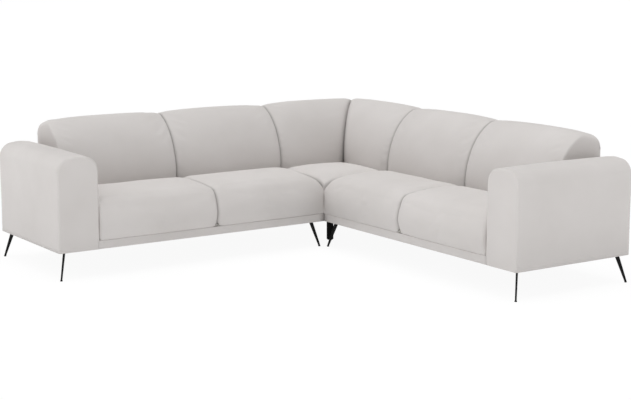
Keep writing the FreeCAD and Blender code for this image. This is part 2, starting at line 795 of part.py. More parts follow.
def wing_panels(name, run):
    """The border under the seats, the outside back and the dust cover."""
    gap = "cloth_gap"
    border = board(run, "module_gap", "frame_outer", "0", "front_roll", "floor_clearance", "border_top")
    node(border, f"{name}_base_border")
    panel = board(run, "module_gap", "frame_outer", "rail_rear", f"sofa_depth - {gap}", "floor_clearance",
                  f"rear_seam - {gap}")
    node(panel, f"{name}_outside_back")
    seat_cloth = board(run, "frame_end_gap", "frame_outer", "front_roll", "rail_rear", "floor_clearance",
                       "frame_bottom", "SeatCloth")
    arm_cloth = board(run, "arm_inner + arm_wadding", "wing_reach - arm_wadding", "arm_wadding",
                      "sofa_depth - arm_wadding * 4 / 3", "floor_clearance", "frame_bottom", "ArmCloth")
    trimmed = []
    for cloth, corner_a, out_a in ((seat_cloth, "0", -1), (arm_cloth, "wing_reach", 1)):
        notches = [plate_space(run, corner_a, corner_d, out_a, out_d)
                   for corner_d, out_d in (("0", -1), ("sofa_depth", 1))]
        trimmed.append(cut(cloth, joined(notches, "PlateSpaces")))
    group(f"{name}_dust_cover", trimmed)


def plate_space(run, corner_a, corner_d, out_a, out_d):
    """The hole in a dust cover round one leg plate."""
    ends = [inward_span(corner, out, "leg_plate_edge - cloth_gap", "leg_plate_edge + leg_plate + cloth_gap")
            for corner, out in ((corner_a, out_a), (corner_d, out_d))]
    return board(run, *ends[0], *ends[1], "floor_clearance - 1", "frame_bottom + 1", "PlateSpace")


def wing_legs(name, run):
    """Four splayed legs, each with a glide."""
    corners = (("front_inner", "0", "0", -1, -1), ("rear_inner", "0", "sofa_depth", -1, 1),
               ("front_outer", "wing_reach", "0", 1, -1), ("rear_outer", "wing_reach", "sofa_depth", 1, 1))
    glides = []
    for place_name, corner_a, corner_d, out_a, out_d in corners:
        splayed_leg(f"{name}_{place_name}_leg", run, corner_a, corner_d, out_a, out_d)
        glides.append(glide(run, corner_a, corner_d, out_a, out_d))
    group(f"{name}_leg_glides", glides)


# Hooks of the wings and brackets of the corner

def hook(run, middle):
    """A wing's hook: a plate on the end rail, a shelf across the gap and a lip that hangs in the bracket."""
    face, top = "-frame_end_gap", "hook_level + hook_height"
    sides = f"{middle} - hook_width / 2", f"{middle} + hook_width / 2"
    tip = f"{face} + hook_reach"
    across = [(face, f"{face} + hook_sheet", "hook_level", top),
              (f"{face} + hook_sheet", tip, f"{top} - hook_sheet", top),
              (f"{tip} - hook_sheet", tip, f"{top} - hook_lip", f"{top} - hook_sheet")]
    return joined([board(run, f"-({far})", f"-({near})", *sides, low, high, "HookBend")
                   for near, far, low, high in across], "Hook")


def bracket(run, middle):
    """The corner's bracket: a plate on its rail, a shelf and a lip that stands behind the hook's lip."""
    low, face = "hook_level - hook_sheet", "frame_end_gap"
    sides = f"{middle} - hook_width / 2", f"{middle} + hook_width / 2"
    tip = "hook_reach - frame_end_gap - hook_sheet * 2 - hook_play"
    across = [(f"{face} - hook_sheet", face, low, "hook_level + hook_height"),
              (tip, f"{face} - hook_sheet", low, "hook_level"),
              (tip, f"{tip} + hook_sheet", "hook_level", "hook_level + hook_lip")]
    return joined([board(run, near, far, *sides, bottom, top, "BracketBend")
                   for near, far, bottom, top in across], "Bracket")


# Corner module

def corner_frame():
    """The square frame of the corner module with its foot blocks."""
    rail = "frame_board"
    middle, rear = f"back_frame_front - {rail}", f"rail_rear - {rail}"
    edge, near = "frame_end_gap", f"frame_end_gap + {rail}"
    left, right = CORNER_LEFT, CORNER_RIGHT
    boards = [
        board(left, edge, near, edge, middle, "frame_bottom", "end_top"),
        board(right, edge, near, near, middle, "frame_bottom", "frame_top"),
        board(left, edge, "back_frame_front", middle, "back_frame_front", "frame_bottom", "frame_top"),
        board(right, edge, middle, middle, "back_frame_front", "frame_bottom", "end_top"),
        board(left, edge, near, "back_frame_front", rear, "frame_bottom", "frame_top"),
        board(right, edge, near, "back_frame_front", rear, "frame_bottom", "frame_top"),
        board(left, edge, "rail_rear", rear, "rail_rear", "frame_bottom", "frame_top"),
        board(right, edge, rear, rear, "rail_rear", "frame_bottom", "frame_top"),
    ]
    boards.append(board(left, "mitre_post", f"mitre_post + 2 * {rail}", "back_frame_front", rear,
                        f"frame_top - {rail}", "frame_top"))
    reach = "leg_block_size / 2"
    top = "frame_bottom + leg_block_height"
    for u, v in foot_places():
        low_u, low_v = (near if place_name == "foot_inset" else f"{place_name} - {reach}" for place_name in (u, v))
        boards.append(board(left, low_u, f"{u} + {reach}", low_v, f"{v} + {reach}", "frame_bottom", top))
    group("corner_seat_frame", boards)


def foot_places():
    """Where the four feet stand, in from the corner module's sides."""
    return [("foot_inset", "foot_inset"), ("foot_rear", "foot_inset"), ("foot_inset", "foot_rear"),
            ("foot_rear", "foot_rear")]


def corner_webbing():
    """Elastic straps across the corner seat, both ways."""
    straps = []
    far = "back_frame_front"
    for number in range(3):
        middle = f"(frame_end_gap + frame_board + strap_width + {number} * (strap_pitch + strap_width) * 0.8)"
        sides = f"{middle} - strap_width / 2", f"{middle} + strap_width / 2"
        straps.append(board(CORNER_LEFT, *sides, "frame_end_gap", far, "frame_top", "end_top", "Strap"))
        straps.append(board(CORNER_RIGHT, *sides, "frame_end_gap", far, "end_top", "deck", "Strap"))
    group("corner_seat_webbing", straps)


def corner_seat_outline(u, bottom):
    """A section of the corner seat: low at the inner corner, crowned in the middle."""
    rear, gap = mm("seat_rear"), mm("module_gap")
    drop = mm("corner_seam_drop")
    edge = mm("seat_top") - mm("seat_arch") - drop

    def seam_height(place_on_seam):
        return edge - (mm("corner_nose") - drop) * math.exp(-place_on_seam / mm("corner_seam_reach"))

    share = (u - gap) / (rear - gap)
    puff = (mm("seat_crown") + mm("corner_puff")) * math.sin(math.pi * share) ** 0.6 if 0 < share < 1 else 0.0
    front = seam_height(u)
    knee = gap + (rear - gap) * 0.26
    knee_height = min(seam_height(knee), edge) - (edge - front) * 0.25 + puff * 0.78
    top = edge + puff - (edge - front) * 0.1
    quarter = (front + knee_height) / 2 + drop + puff * 0.22
    return [((gap, bottom), (gap, front)),
            ((gap, front), (gap + (knee - gap) * 0.38, quarter), (knee, knee_height)),
            ((knee, knee_height), ((knee + rear) / 2, (knee_height + edge) / 2 + 2 + puff * 0.6), (rear, edge)),
            ((rear, edge), (rear, bottom)), ((rear, bottom), (gap, bottom))]


def corner_seat():
    """The crowned square cushion of the corner, over its foam."""
    gap, rear, inset = mm("module_gap"), mm("seat_rear"), mm("wadding")
    bottom = mm("deck")
    wires = []
    for share in CORNER_CROWN:
        u = gap + (rear - gap) * share
        wires.append(wire(corner_seat_outline(u, bottom), lambda v, z, u=u: CORNER_LEFT.at(u, v, z)))
    low = mm("seat_top") - mm("seat_arch") - mm("corner_nose") - inset
    foam = box(CORNER_LEFT, inset, rear - inset, inset, rear - inset, bottom, low)
    soft("corner_seat_foam", foam)
    soft("corner_seat", loft(wires).cut(foam))


def fanned(run, share, outline):
    """An outline turned about the inner corner's upright line, from the seam to the mitre."""
    angle = share * math.pi / 4
    slide = mm("module_gap") * (1 - share)
    short = mm("cloth_gap") / 2 * share
    return wire(outline, lambda d, z: run.at(d * math.tan(angle) + slide - short, d, z))


def behind_mitre(run, clearance):
    """The space past the mitre of a corner back, which its twin holds."""
    reach = mm("sofa_depth") * 2
    low, high = 0, mm("back_top") * 2
    corners = [(clearance * -1, 0), (reach - clearance, reach), (reach * 2, reach), (reach * 2, 0)]
    face = Part.Face(Part.makePolygon([run.at(a, d, low) for a, d in corners + corners[:1]]))
    return face.extrude(V(0, 0, high))


def corner_backs():
    """Two crowned backs that meet in a mitre, with their foams and panels."""
    rear, deck, start = mm("rear_face"), mm("deck"), mm("module_gap")
    full, end = mm("back_crown"), mm("sofa_depth") * 1.2
    foams, panels = [], []
    for name, run in CORNER_SIDES:
        twin = behind_mitre(run, mm("cloth_gap") / 2)
        wires = []
        for share in CROWN:
            wires.append(fanned(run, share, back_outline(full * swell(share), deck, rear)))
        form = loft(wires).cut(back_hollow(run, start - 1, end))
        form = form.cut(box(run, -1, end, mm("rail_rear") - mm("wadding"), mm("sofa_depth"),
                            deck - 1, mm("rear_seam")))
        soft(f"corner_{name}_back", form.cut(twin))
        foams.append(back_foam(run, start, end).cut(twin))
        lean = back_core_points(mm("ply_front"))
        (knee_d, knee_z), (shoulder_d, shoulder_z) = lean[1], lean[2]
        panel = [(knee_d, knee_z), (shoulder_d, shoulder_z), (shoulder_d + mm("thin_ply"), shoulder_z),
                 (knee_d + mm("thin_ply"), knee_z)]
        panels.append(prism(run, polygon(panel), mm("frame_end_gap") + mm("ply_board"), end).cut(twin))
    soft("corner_back_foams", Part.makeCompound(foams))
    soft("corner_back_panels", Part.makeCompound(panels))


def corner_back_frame():
    """A ply board at each seam side, an upright in the mitre and at the outer corner, and rails."""
    pieces = []
    post = "post_rear - frame_board"
    for name, run in CORNER_SIDES:
        start = "frame_end_gap"
        pieces.append(sheet_profile(run, back_board_points(), start, f"{start} + ply_board",
                                    f"corner_{name}_back_board"))
        a0 = f"{start} + ply_board"
        pieces.append(board(run, a0, post, post, "post_rear", f"frame_crest - ply_board * 2 - back_rail_height",
                            "frame_crest - ply_board * 2", "RearRail"))
    pieces.append(board(CORNER_LEFT, post, "post_rear", post, "post_rear", "frame_top",
                        "frame_crest - ply_board * 2", "OuterPost"))
    ends = "mitre_post", "mitre_post + 2 * frame_board"
    pieces.append(board(CORNER_LEFT, *ends, *ends, "frame_top", "shoulder", "MitrePost"))
    group("corner_back_frame", pieces)


def corner_panels():
    """Two outside backs and the dust cover with holes for the feet."""
    gap = "cloth_gap"
    panels = [
        board(CORNER_LEFT, "module_gap", f"sofa_depth - {gap}", "rail_rear", f"sofa_depth - {gap}",
              "floor_clearance", f"rear_seam - {gap}", "OutsideBack"),
        board(CORNER_RIGHT, "module_gap", "rail_rear", "rail_rear", f"sofa_depth - {gap}",
              "floor_clearance", f"rear_seam - {gap}", "OutsideBack"),
    ]
    group("corner_outside_backs", panels)
    cloth = board(CORNER_LEFT, "frame_end_gap", "rail_rear", "frame_end_gap", "rail_rear",
                  "floor_clearance", "frame_bottom", "CornerCloth")
    reach = "(foot_flange / 2 + cloth_gap)"
    holes = [board(CORNER_LEFT, f"{u} - {reach}", f"{u} + {reach}", f"{v} - {reach}", f"{v} + {reach}",
                   "floor_clearance - 1", "frame_bottom + 1", "FootSpace") for u, v in foot_places()]
    node(cut(cloth, joined(holes, "FootSpaces"), "corner_dust_cover"), "corner_dust_cover")


for wing_name, wing_run in WINGS:
    wing_frame(wing_name, wing_run)
    wing_webbing(wing_name, wing_run)
    wing_legs(wing_name, wing_run)
    arm(wing_name, wing_run)
    wing_back_frame(wing_name, wing_run)
    wing_back_straps(wing_name, wing_run)
    wing_cushions(wing_name, wing_run)
    wing_panels(wing_name, wing_run)
    group(f"{wing_name}_connector_hooks", [hook(wing_run, place_in_depth)
                                           for place_in_depth in ("hook_front", "hook_rear")])

corner_frame()
corner_webbing()
for foot_name, foot_place in zip(("front", "right", "left", "rear"), foot_places()):
    round_foot(f"corner_{foot_name}_foot", *foot_place)
corner_seat()
corner_back_frame()
corner_backs()
corner_panels()
group("corner_connector_brackets", [bracket(corner_run, place_in_depth) for _, corner_run in CORNER_SIDES
                                    for place_in_depth in ("hook_front", "hook_rear")])

# Check every object, then write one file for each sub-part
doc.recompute()
for item in doc.Objects:
    faults = [state for state in item.State if state in ("Invalid", "Error")]
    if faults:
        raise RuntimeError(f"{item.Label}: {faults}")
for item in NODES:
    if item.Shape.isNull() or not item.Shape.isValid() or not item.Shape.Solids:
        raise RuntimeError(f"{item.Label}: bad shape")

os.makedirs("parts", exist_ok=True)
for item in NODES:
    item.Shape.exportStep(f"parts/{item.Label}.step")
print(len(NODES), "sub-parts written")
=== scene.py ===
import json
import math
import bmesh
import bpy
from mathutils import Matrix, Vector, noise


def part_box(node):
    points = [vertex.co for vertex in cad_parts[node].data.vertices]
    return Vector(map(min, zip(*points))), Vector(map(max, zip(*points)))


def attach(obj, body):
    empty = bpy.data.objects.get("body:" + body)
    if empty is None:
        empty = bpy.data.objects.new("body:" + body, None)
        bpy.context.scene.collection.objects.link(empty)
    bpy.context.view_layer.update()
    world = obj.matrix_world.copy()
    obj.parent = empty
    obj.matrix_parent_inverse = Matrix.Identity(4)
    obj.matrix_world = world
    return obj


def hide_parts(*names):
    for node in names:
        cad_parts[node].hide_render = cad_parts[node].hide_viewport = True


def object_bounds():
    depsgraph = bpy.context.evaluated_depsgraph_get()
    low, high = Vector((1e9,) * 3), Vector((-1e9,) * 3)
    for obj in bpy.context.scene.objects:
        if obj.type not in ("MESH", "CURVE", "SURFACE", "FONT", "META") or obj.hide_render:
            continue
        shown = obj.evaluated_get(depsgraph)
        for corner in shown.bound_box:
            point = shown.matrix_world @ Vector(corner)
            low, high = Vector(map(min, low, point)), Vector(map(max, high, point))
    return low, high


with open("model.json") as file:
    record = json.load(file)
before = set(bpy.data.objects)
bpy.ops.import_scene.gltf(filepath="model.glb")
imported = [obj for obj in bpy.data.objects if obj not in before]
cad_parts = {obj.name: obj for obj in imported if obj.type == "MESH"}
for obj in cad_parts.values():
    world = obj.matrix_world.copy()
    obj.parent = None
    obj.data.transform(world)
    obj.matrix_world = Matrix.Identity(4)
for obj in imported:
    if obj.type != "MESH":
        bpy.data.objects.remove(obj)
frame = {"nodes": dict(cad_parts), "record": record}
cad_box = [list(corner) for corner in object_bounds()]

# Places on a wing: a runs out from the inner corner, d back from the seat fronts and z up, in metres
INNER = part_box("left_base_border")[0].y
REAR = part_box("left_outside_back")[1].y - INNER
PANEL_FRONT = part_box("left_outside_back")[0].y - INNER
REAR_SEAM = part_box("left_outside_back")[1].z
FLOOR_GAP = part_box("left_base_border")[0].z
BORDER_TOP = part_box("left_base_border")[1].z
BORDER_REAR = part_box("left_base_border")[1].y - INNER
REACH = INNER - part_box("left_arm_cover")[0].x
ARM_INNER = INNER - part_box("left_arm_cover")[1].x
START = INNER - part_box("left_inner_seat")[1].x
SEAT_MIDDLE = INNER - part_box("left_inner_seat")[0].x
SEAT_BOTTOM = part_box("left_inner_seat")[0].z
SEAT_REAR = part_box("left_inner_seat")[1].y - INNER
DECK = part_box("corner_seat")[0].z
BACK_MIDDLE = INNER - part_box("left_inner_back")[0].x
GAP = START
TOUCH = GAP / 4

# Seat profile
SEAT_EDGE = 0.447
SEAT_ARCH = 0.0136
SEAT_BULGE = 0.017
SEAT_CROWN = 0.010
SHOULDER = 0.381
NOSE_DEPTH = 0.094
NOSE_TOP_DEPTH = 0.033
NOSE_TOP_DROP = 0.018
SEAT_TUCK = 0.003
FULLNESS_SHARE = 0.8
REAR_TURN = 0.030
REAR_DROP = 0.024
SEAT_POINTS_SHOWN = 67

# Seats at the inner corner
CORNER_DIP = 0.022
CORNER_NOSE = 0.055
CORNER_EDGE_DROP = 0.006
CORNER_NOSE_REACH = 0.070
CORNER_DIP_REACH = 0.11
CORNER_BOTH_REACH = 0.09
CORNER_PUFF = 0.016
CORNER_DIP_SHARE = 0.92
CORNER_TURN_SHARE = 5.5
CORNER_SPACING = 0.016
CORNER_REAR_REACH = 0.016
CORNER_REAR_SHARE = 0.8
CORNER_PUCKER = 0.005
CORNER_PUCKER_SIZE = 0.016
CORNER_PUCKER_DEPTH = 0.08
CORNER_PUCKER_AT = (0.010, 0.004)
CORNER_PUCKER_SQUASH = 0.55
CORNER_SEAM_BELOW = 0.03
CORNER_SEAM_RISE = 0.05

# Cloth folded into the inner corner
FOLD_REACH = 0.0075
FOLD_STEPS = 16
FOLD_BASE = 0.002
FOLD_TOP = 0.09
FOLD_EASE = 0.0012
FOLD_TURN = 1.3
FOLD_EDGE = 0.0005
FOLD_BEND = 0.002

# Seats beside an arm
ARM_TUCK_DEPTH = 0.1
ARM_TUCK_DROP = 0.4

# Back profile
BACK_FRONT = 0.492
BACK_TOP = 0.833
BACK_CROWN = 0.012
BELLY_RADIUS = 0.466
ROLL_RADIUS = 0.329
CREST_RADIUS = 0.080
REAR_RADIUS = 0.045
BELLY_TURN = math.radians(29.6)
ROLL_TURN = math.radians(31.8)
TOP_FALL = math.radians(14)
BACK_STEPS = (12, 22, 18, 12, 6, 10)
BACK_POINTS_SHOWN = 83
FAN_SPACING = 0.03
END_ROUND = 0.040
END_FULLNESS = 0.35
END_DRAW = 0.9

# Arms
ARM_TOP = 0.702
ARM_CROWN = 0.004
ARM_ROUND = 0.085
ARM_FRONT_EDGE = 0.014
ARM_REAR_EDGE = 0.014
ARM_REAR_SHARE = 0.75
ARM_SOFTNESS = 0.7
ARM_SIDE_STEPS = 20
ARM_ROUND_STEPS = 12
ARM_TOP_STEPS = 8
ARM_EDGE_STEPS = 9
ARM_LENGTH_STEPS = 34

# Borders and outside backs
BORDER_EDGE = 0.004
PANEL_EDGE = 0.003
STRIP_SPACING = 0.04
STRIP_EDGE_STEPS = 5

# Seams and folds
SEAM_DEPTH = 0.010
SEAM_WIDTH = 0.0055
VALLEY_DEPTH = 0.005
VALLEY_WIDTH = 0.022
# Painted shade along the seams: how far from a seam it reaches, and how much it darkens the cloth's colour
PAINTED_SHADE_REACH = 0.008
PAINTED_SHADE_FACTOR = 0.75
FOAM_INSET = 0.013
NOSE_ROUND = 0.020
COLUMN_SPACING = 0.022
NEAR_SEAM = (0, 0.0012, 0.003, 0.0055, 0.009, 0.015, 0.024, 0.037, 0.055)
SEAM_CALM = 0.02
PUCKER_STRETCH = 0.12
SWELL_SCALE = 4.5
FAR_FROM_SEAM = 0.1
PUCKER = 0.0012
PUCKER_LENGTH = 0.034
PUCKER_REACH = 0.045
SWELL_NOISE = 0.0022
WING_SEEDS = {"left": 1, "right": 11}
CORNER_BACK_SEEDS = {"left": 31, "right": 32}
CORNER_SEAT_SEED = 7.7

# Cloth simulation of the covers
CLOTH_QUALITY = 4
CLOTH_MASS = 0.3
CLOTH_STRETCH = 12
CLOTH_SHEAR = 6
CLOTH_BENDING = 0.4
CLOTH_PRESSURE = 4
CLOTH_SLACK = 0.004
CLOTH_FRAMES = 20
CLOTH_CAP = 0.004
CLOTH_HELD = 3

# Lining under the frame, its staples and the screws of legs and feet
LINING_TOP = 0.0019
LINING_PLAY = 0.0001
LINING_THICKNESS = 0.0008
LINING_SAG = 0.003
LINING_FLATNESS = 0.7
FRAME_BOTTOM = FLOOR_GAP + LINING_TOP + LINING_PLAY
FRAME_END = 0.008
FRAME_FRONT = 0.020
ARM_WADDING = 0.012
LEG_PLATE_EDGE = 0.0234
LEG_PLATE_END = 0.0946
LEG_PLATE_THICKNESS = 0.003
FOOT_FLANGE_THICKNESS = 0.005
STAPLE_LENGTH = 0.012
STAPLE_SPACING = 0.10
STAPLE_INSET = 0.006
STAPLE_WIRE = 0.0006
STAPLE_RISE = 0.0012
LINING_GRID = 0.03
SCREW_OFFSET = 0.026
FOOT_SCREW_OFFSET = 0.033
SCREW_HEAD = 0.0045
SCREW_PROFILE = ((1, 0), (1, 0.0006), (0.8, 0.0017), (0.4, 0.0023), (0.35, 0.0013))
SCREW_SIDES = 12

# Light: each lamp's energy, its turn from the front toward the left and its height, in degrees
LAMPS = (("overhead", 1.35, 0, 85), ("high_left", 0.58, 120, 50))
SURROUND = 0.407
FLOOR_BOUNCE = 0.896
FLOOR_WHITE = 1.09
FLOOR_WHITE_SHARE = 0.86
FLOOR_GREY = 0.5
FLOOR_REACH = 40
# Painted shade on the floor's glow: where it fades toward the sofa, standing in for the sofa's shade on the
# floor
FADE_START = -0.35
FADE_END = 0.9
FADE_LEAST = 0.1
LAMP_SPREAD = math.radians(40)

# Camera: the photograph's own view
CAMERA_PLACE = (-4.648, -7.009, 1.867)
CAMERA_TURN = (math.radians(80.18), 0, math.radians(-34.06))
CAMERA_LENS = 83.2


class Run:
    """A stretch of sofa: a along it, d into its depth. Turned runs lie along Y."""

    def __init__(self, sign, turned):
        self.sign = sign
        self.turned = turned

    def at(self, a, d, z):
        """The place in the shared frame."""
        x, y = self.sign * a, d
        if self.turned:
            x, y = y, -x
        return Vector((INNER + x, INNER + y, z))


WINGS = (("left", Run(-1, False)), ("right", Run(1, True)))
CORNER_SIDES = (("left", Run(1, False)), ("right", Run(-1, True)))


# Materials

def new_material(name):
    """A new material with its nodes, links and shader."""
    material = bpy.data.materials.new(name)
    material.use_nodes = True
    nodes = material.node_tree.nodes
    return material, nodes, material.node_tree.links, nodes["Principled BSDF"]


def object_noise(nodes, links, scale, detail, stretch=(1, 1, 1)):
    """A noise texture in metres over the object's own coordinates."""
    place = nodes.new("ShaderNodeTexCoord")
    mapping = nodes.new("ShaderNodeMapping")
    mapping.inputs["Scale"].default_value = stretch
    texture = nodes.new("ShaderNodeTexNoise")
    texture.inputs["Scale"].default_value = scale
    texture.inputs["Detail"].default_value = detail
    links.new(place.outputs["Object"], mapping.inputs["Vector"])
    links.new(mapping.outputs["Vector"], texture.inputs["Vector"])
    return texture


def threads(nodes, links, axis, pitch):
    """Fine ridges across one axis, a pitch apart."""
    place = nodes.new("ShaderNodeTexCoord")
    wave = nodes.new("ShaderNodeTexWave")
    wave.wave_type = "BANDS"
    wave.bands_direction = axis
    wave.wave_profile = "SIN"
    wave.inputs["Scale"].default_value = 2 * math.pi / (20 * pitch)
    wave.inputs["Distortion"].default_value = 1.2
    wave.inputs["Detail"].default_value = 2
    wave.inputs["Detail Scale"].default_value = 3
    links.new(place.outputs["Object"], wave.inputs["Vector"])
    return wave


def maths(nodes, links, operation, first, second):
    """One sum of two sockets or numbers."""
    node = nodes.new("ShaderNodeMath")
    node.operation = operation
    for index, value in enumerate((first, second)):
        if hasattr(value, "is_output"):
            links.new(value, node.inputs[index])
        else:
            node.inputs[index].default_value = value
    return node.outputs[0]


def colour_ramp(nodes, links, source, low, high, low_at=0.3, high_at=0.7):
    """A colour between two, by a socket's value."""
    ramp = nodes.new("ShaderNodeValToRGB")
    ramp.color_ramp.elements[0].position = low_at
    ramp.color_ramp.elements[0].color = (*low, 1)
    ramp.color_ramp.elements[1].position = high_at
    ramp.color_ramp.elements[1].color = (*high, 1)
    links.new(source, ramp.inputs["Fac"])
    return ramp.outputs["Color"]


def cover_fabric():
    """The smooth, fine, light warm grey cover, with painted shade along its seams."""
    material, nodes, links, shader = new_material("cover_fabric")
    warp = threads(nodes, links, "X", 0.0011)
    weft = threads(nodes, links, "Y", 0.0011)
    rise = threads(nodes, links, "Z", 0.0011)
    weave = maths(nodes, links, "ADD", maths(nodes, links, "ADD", warp.outputs["Fac"], weft.outputs["Fac"]),
                  rise.outputs["Fac"])
    fibre = object_noise(nodes, links, 900, 4)
    patches = object_noise(nodes, links, 3.2, 3)
    shade = maths(nodes, links, "ADD", maths(nodes, links, "MULTIPLY", patches.outputs["Fac"], 0.7),
                  maths(nodes, links, "MULTIPLY", fibre.outputs["Fac"], 0.3))
    colour = colour_ramp(nodes, links, shade, (0.645, 0.616, 0.598), (0.703, 0.674, 0.659))
    # Painted shade: the colour is darkened along the seams, where the seam grooves fall in shade
    painted_seam_shade = nodes.new("ShaderNodeAttribute")
    painted_seam_shade.attribute_name = "painted_seam_shade"
    darker = nodes.new("ShaderNodeMix")
    darker.data_type = "RGBA"
    darker.blend_type = "MULTIPLY"
    darker.inputs["B"].default_value = (PAINTED_SHADE_FACTOR, PAINTED_SHADE_FACTOR, PAINTED_SHADE_FACTOR, 1)
    links.new(painted_seam_shade.outputs["Fac"], darker.inputs["Factor"])
    links.new(colour, darker.inputs["A"])
    links.new(darker.outputs["Result"], shader.inputs["Base Color"])
    shader.inputs["Roughness"].default_value = 0.9
    shader.inputs["Sheen Weight"].default_value = 0.12
    shader.inputs["Sheen Roughness"].default_value = 0.5
    shader.inputs["Specular IOR Level"].default_value = 0.2
    height = maths(nodes, links, "ADD", maths(nodes, links, "MULTIPLY", weave, 0.3), fibre.outputs["Fac"])
    bump = nodes.new("ShaderNodeBump")
    bump.inputs["Strength"].default_value = 0.25
    bump.inputs["Distance"].default_value = 0.0004
    links.new(height, bump.inputs["Height"])
    links.new(bump.outputs["Normal"], shader.inputs["Normal"])
    return material


def powder_coat(name, colour, roughness):
    """A fine-grained dark finish, for legs and moulded feet."""
    material, nodes, links, shader = new_material(name)
    grain = object_noise(nodes, links, 2200, 2)
    wear = object_noise(nodes, links, 40, 4)
    lighter = tuple(value * 1.6 + 0.001 for value in colour)
    links.new(colour_ramp(nodes, links, wear.outputs["Fac"], colour, lighter), shader.inputs["Base Color"])
    rough = nodes.new("ShaderNodeMapRange")
    rough.inputs["To Min"].default_value = roughness - 0.08
    rough.inputs["To Max"].default_value = roughness + 0.1
    links.new(grain.outputs["Fac"], rough.inputs["Value"])
    links.new(rough.outputs["Result"], shader.inputs["Roughness"])
    shader.inputs["Specular IOR Level"].default_value = 0.25
    bump = nodes.new("ShaderNodeBump")
    bump.inputs["Strength"].default_value = 0.2
    bump.inputs["Distance"].default_value = 0.0002
    links.new(grain.outputs["Fac"], bump.inputs["Height"])
    links.new(bump.outputs["Normal"], shader.inputs["Normal"])
    return material


def timber():
    """Planed boards inside the frame."""
    material, nodes, links, shader = new_material("frame_wood")
    grain = object_noise(nodes, links, 12, 6, stretch=(1, 8, 8))
    links.new(colour_ramp(nodes, links, grain.outputs["Fac"], (0.46, 0.31, 0.18), (0.66, 0.48, 0.30)),
              shader.inputs["Base Color"])
    shader.inputs["Roughness"].default_value = 0.7
    return material


def cell_foam():
    """Open-cell foam and wadding."""
    material, nodes, links, shader = new_material("cushion_foam")
    cells = object_noise(nodes, links, 500, 3)
    links.new(colour_ramp(nodes, links, cells.outputs["Fac"], (0.60, 0.58, 0.54), (0.70, 0.68, 0.64)),
              shader.inputs["Base Color"])
    shader.inputs["Roughness"].default_value = 0.95
    return material


def dark_cloth(name, colour, pitch):
    """A dark technical cloth: webbing or the lining under the frame."""
    material, nodes, links, shader = new_material(name)
    ribs = threads(nodes, links, "X", pitch)
    cross = threads(nodes, links, "Y", pitch)
    mix = maths(nodes, links, "MULTIPLY", ribs.outputs["Fac"], cross.outputs["Fac"])
    lighter = tuple(value * 1.8 + 0.01 for value in colour)
    links.new(colour_ramp(nodes, links, mix, colour, lighter), shader.inputs["Base Color"])
    shader.inputs["Roughness"].default_value = 0.85
    bump = nodes.new("ShaderNodeBump")
    bump.inputs["Distance"].default_value = 0.0003
    links.new(mix, bump.inputs["Height"])
    links.new(bump.outputs["Normal"], shader.inputs["Normal"])
    return material


def zinc():
    """Zinc-plated sheet of the connectors."""
    material, nodes, links, shader = new_material("connector_steel")
    spangle = object_noise(nodes, links, 220, 2)
    links.new(colour_ramp(nodes, links, spangle.outputs["Fac"], (0.46, 0.47, 0.48), (0.62, 0.63, 0.64)),
              shader.inputs["Base Color"])
    shader.inputs["Metallic"].default_value = 1.0
    shader.inputs["Roughness"].default_value = 0.38
    return material


MATERIALS = {
    "cover_fabric": cover_fabric(),
    "frame_wood": timber(),
    "cushion_foam": cell_foam(),
    "leg_metal": powder_coat("leg_metal", (0.0025, 0.0025, 0.0027), 0.6),
    "foot_plastic": powder_coat("foot_plastic", (0.003, 0.003, 0.003), 0.7),
    "elastic_webbing": dark_cloth("elastic_webbing", (0.05, 0.05, 0.055), 0.004),
    "lining_cloth": dark_cloth("lining_cloth", (0.02, 0.02, 0.022), 0.002),
    "connector_steel": zinc(),
}


# Meshes from rings of points

def ring_faces(rings, first):
    """The faces of a closed form through a row of rings with as many points each, its ends capped."""
    count = len(rings[0])
    faces = []
    for number in range(len(rings) - 1):
        low, high = first + number * count, first + (number + 1) * count
        for index in range(count):
            after = (index + 1) % count
            faces.append((low + index, low + after, high + after, high + index))
    last = first + (len(rings) - 1) * count
    return faces + [tuple(reversed(range(first, first + count))), tuple(range(last, last + count))]


def small_parts(name, rows):
    """One mesh of many small closed forms, each a row of rings."""
    points, faces = [], []
    for rings in rows:
        faces += ring_faces(rings, len(points))
        points += [point for ring in rings for point in ring]
    mesh = bpy.data.meshes.new(name)
    mesh.from_pydata([tuple(point) for point in points], [], faces)
    return face_outward(name, mesh)


def face_outward(name, mesh):
    """A closed mesh as a piece, with every face turned outward."""
    shape = bmesh.new()
    shape.from_mesh(mesh)
    bmesh.ops.recalc_face_normals(shape, faces=shape.faces)
    if shape.calc_volume(signed=True) < 0:
        bmesh.ops.reverse_faces(shape, faces=shape.faces)
    shape.to_mesh(mesh)
    shape.free()
    piece = bpy.data.objects.new(name, mesh)
    bpy.context.scene.collection.objects.link(piece)
    return piece


def ring_mesh(name, rings):
    """A closed mesh through a row of rings with as many points each, its ends capped."""
    points = [point for ring in rings for point in ring]
    faces = ring_faces(rings, 0)
    mesh = bpy.data.meshes.new(name)
    mesh.from_pydata([tuple(point) for point in points], [], faces)
    mesh.validate()
    for polygon in mesh.polygons:
        polygon.use_smooth = len(polygon.vertices) == 4
    return face_outward(name, mesh)


def mark_painted_seam_shade(piece, distances):
    """Note on the mesh how close each point is to its seam, for painted shade that darkens the cloth near the
    seams.
    """
    painted_seam_shade = piece.data.attributes.new("painted_seam_shade", "FLOAT", "POINT")
    painted_seam_shade.data.foreach_set("value", [math.exp(-(distance / PAINTED_SHADE_REACH) ** 2) for distance in distances])


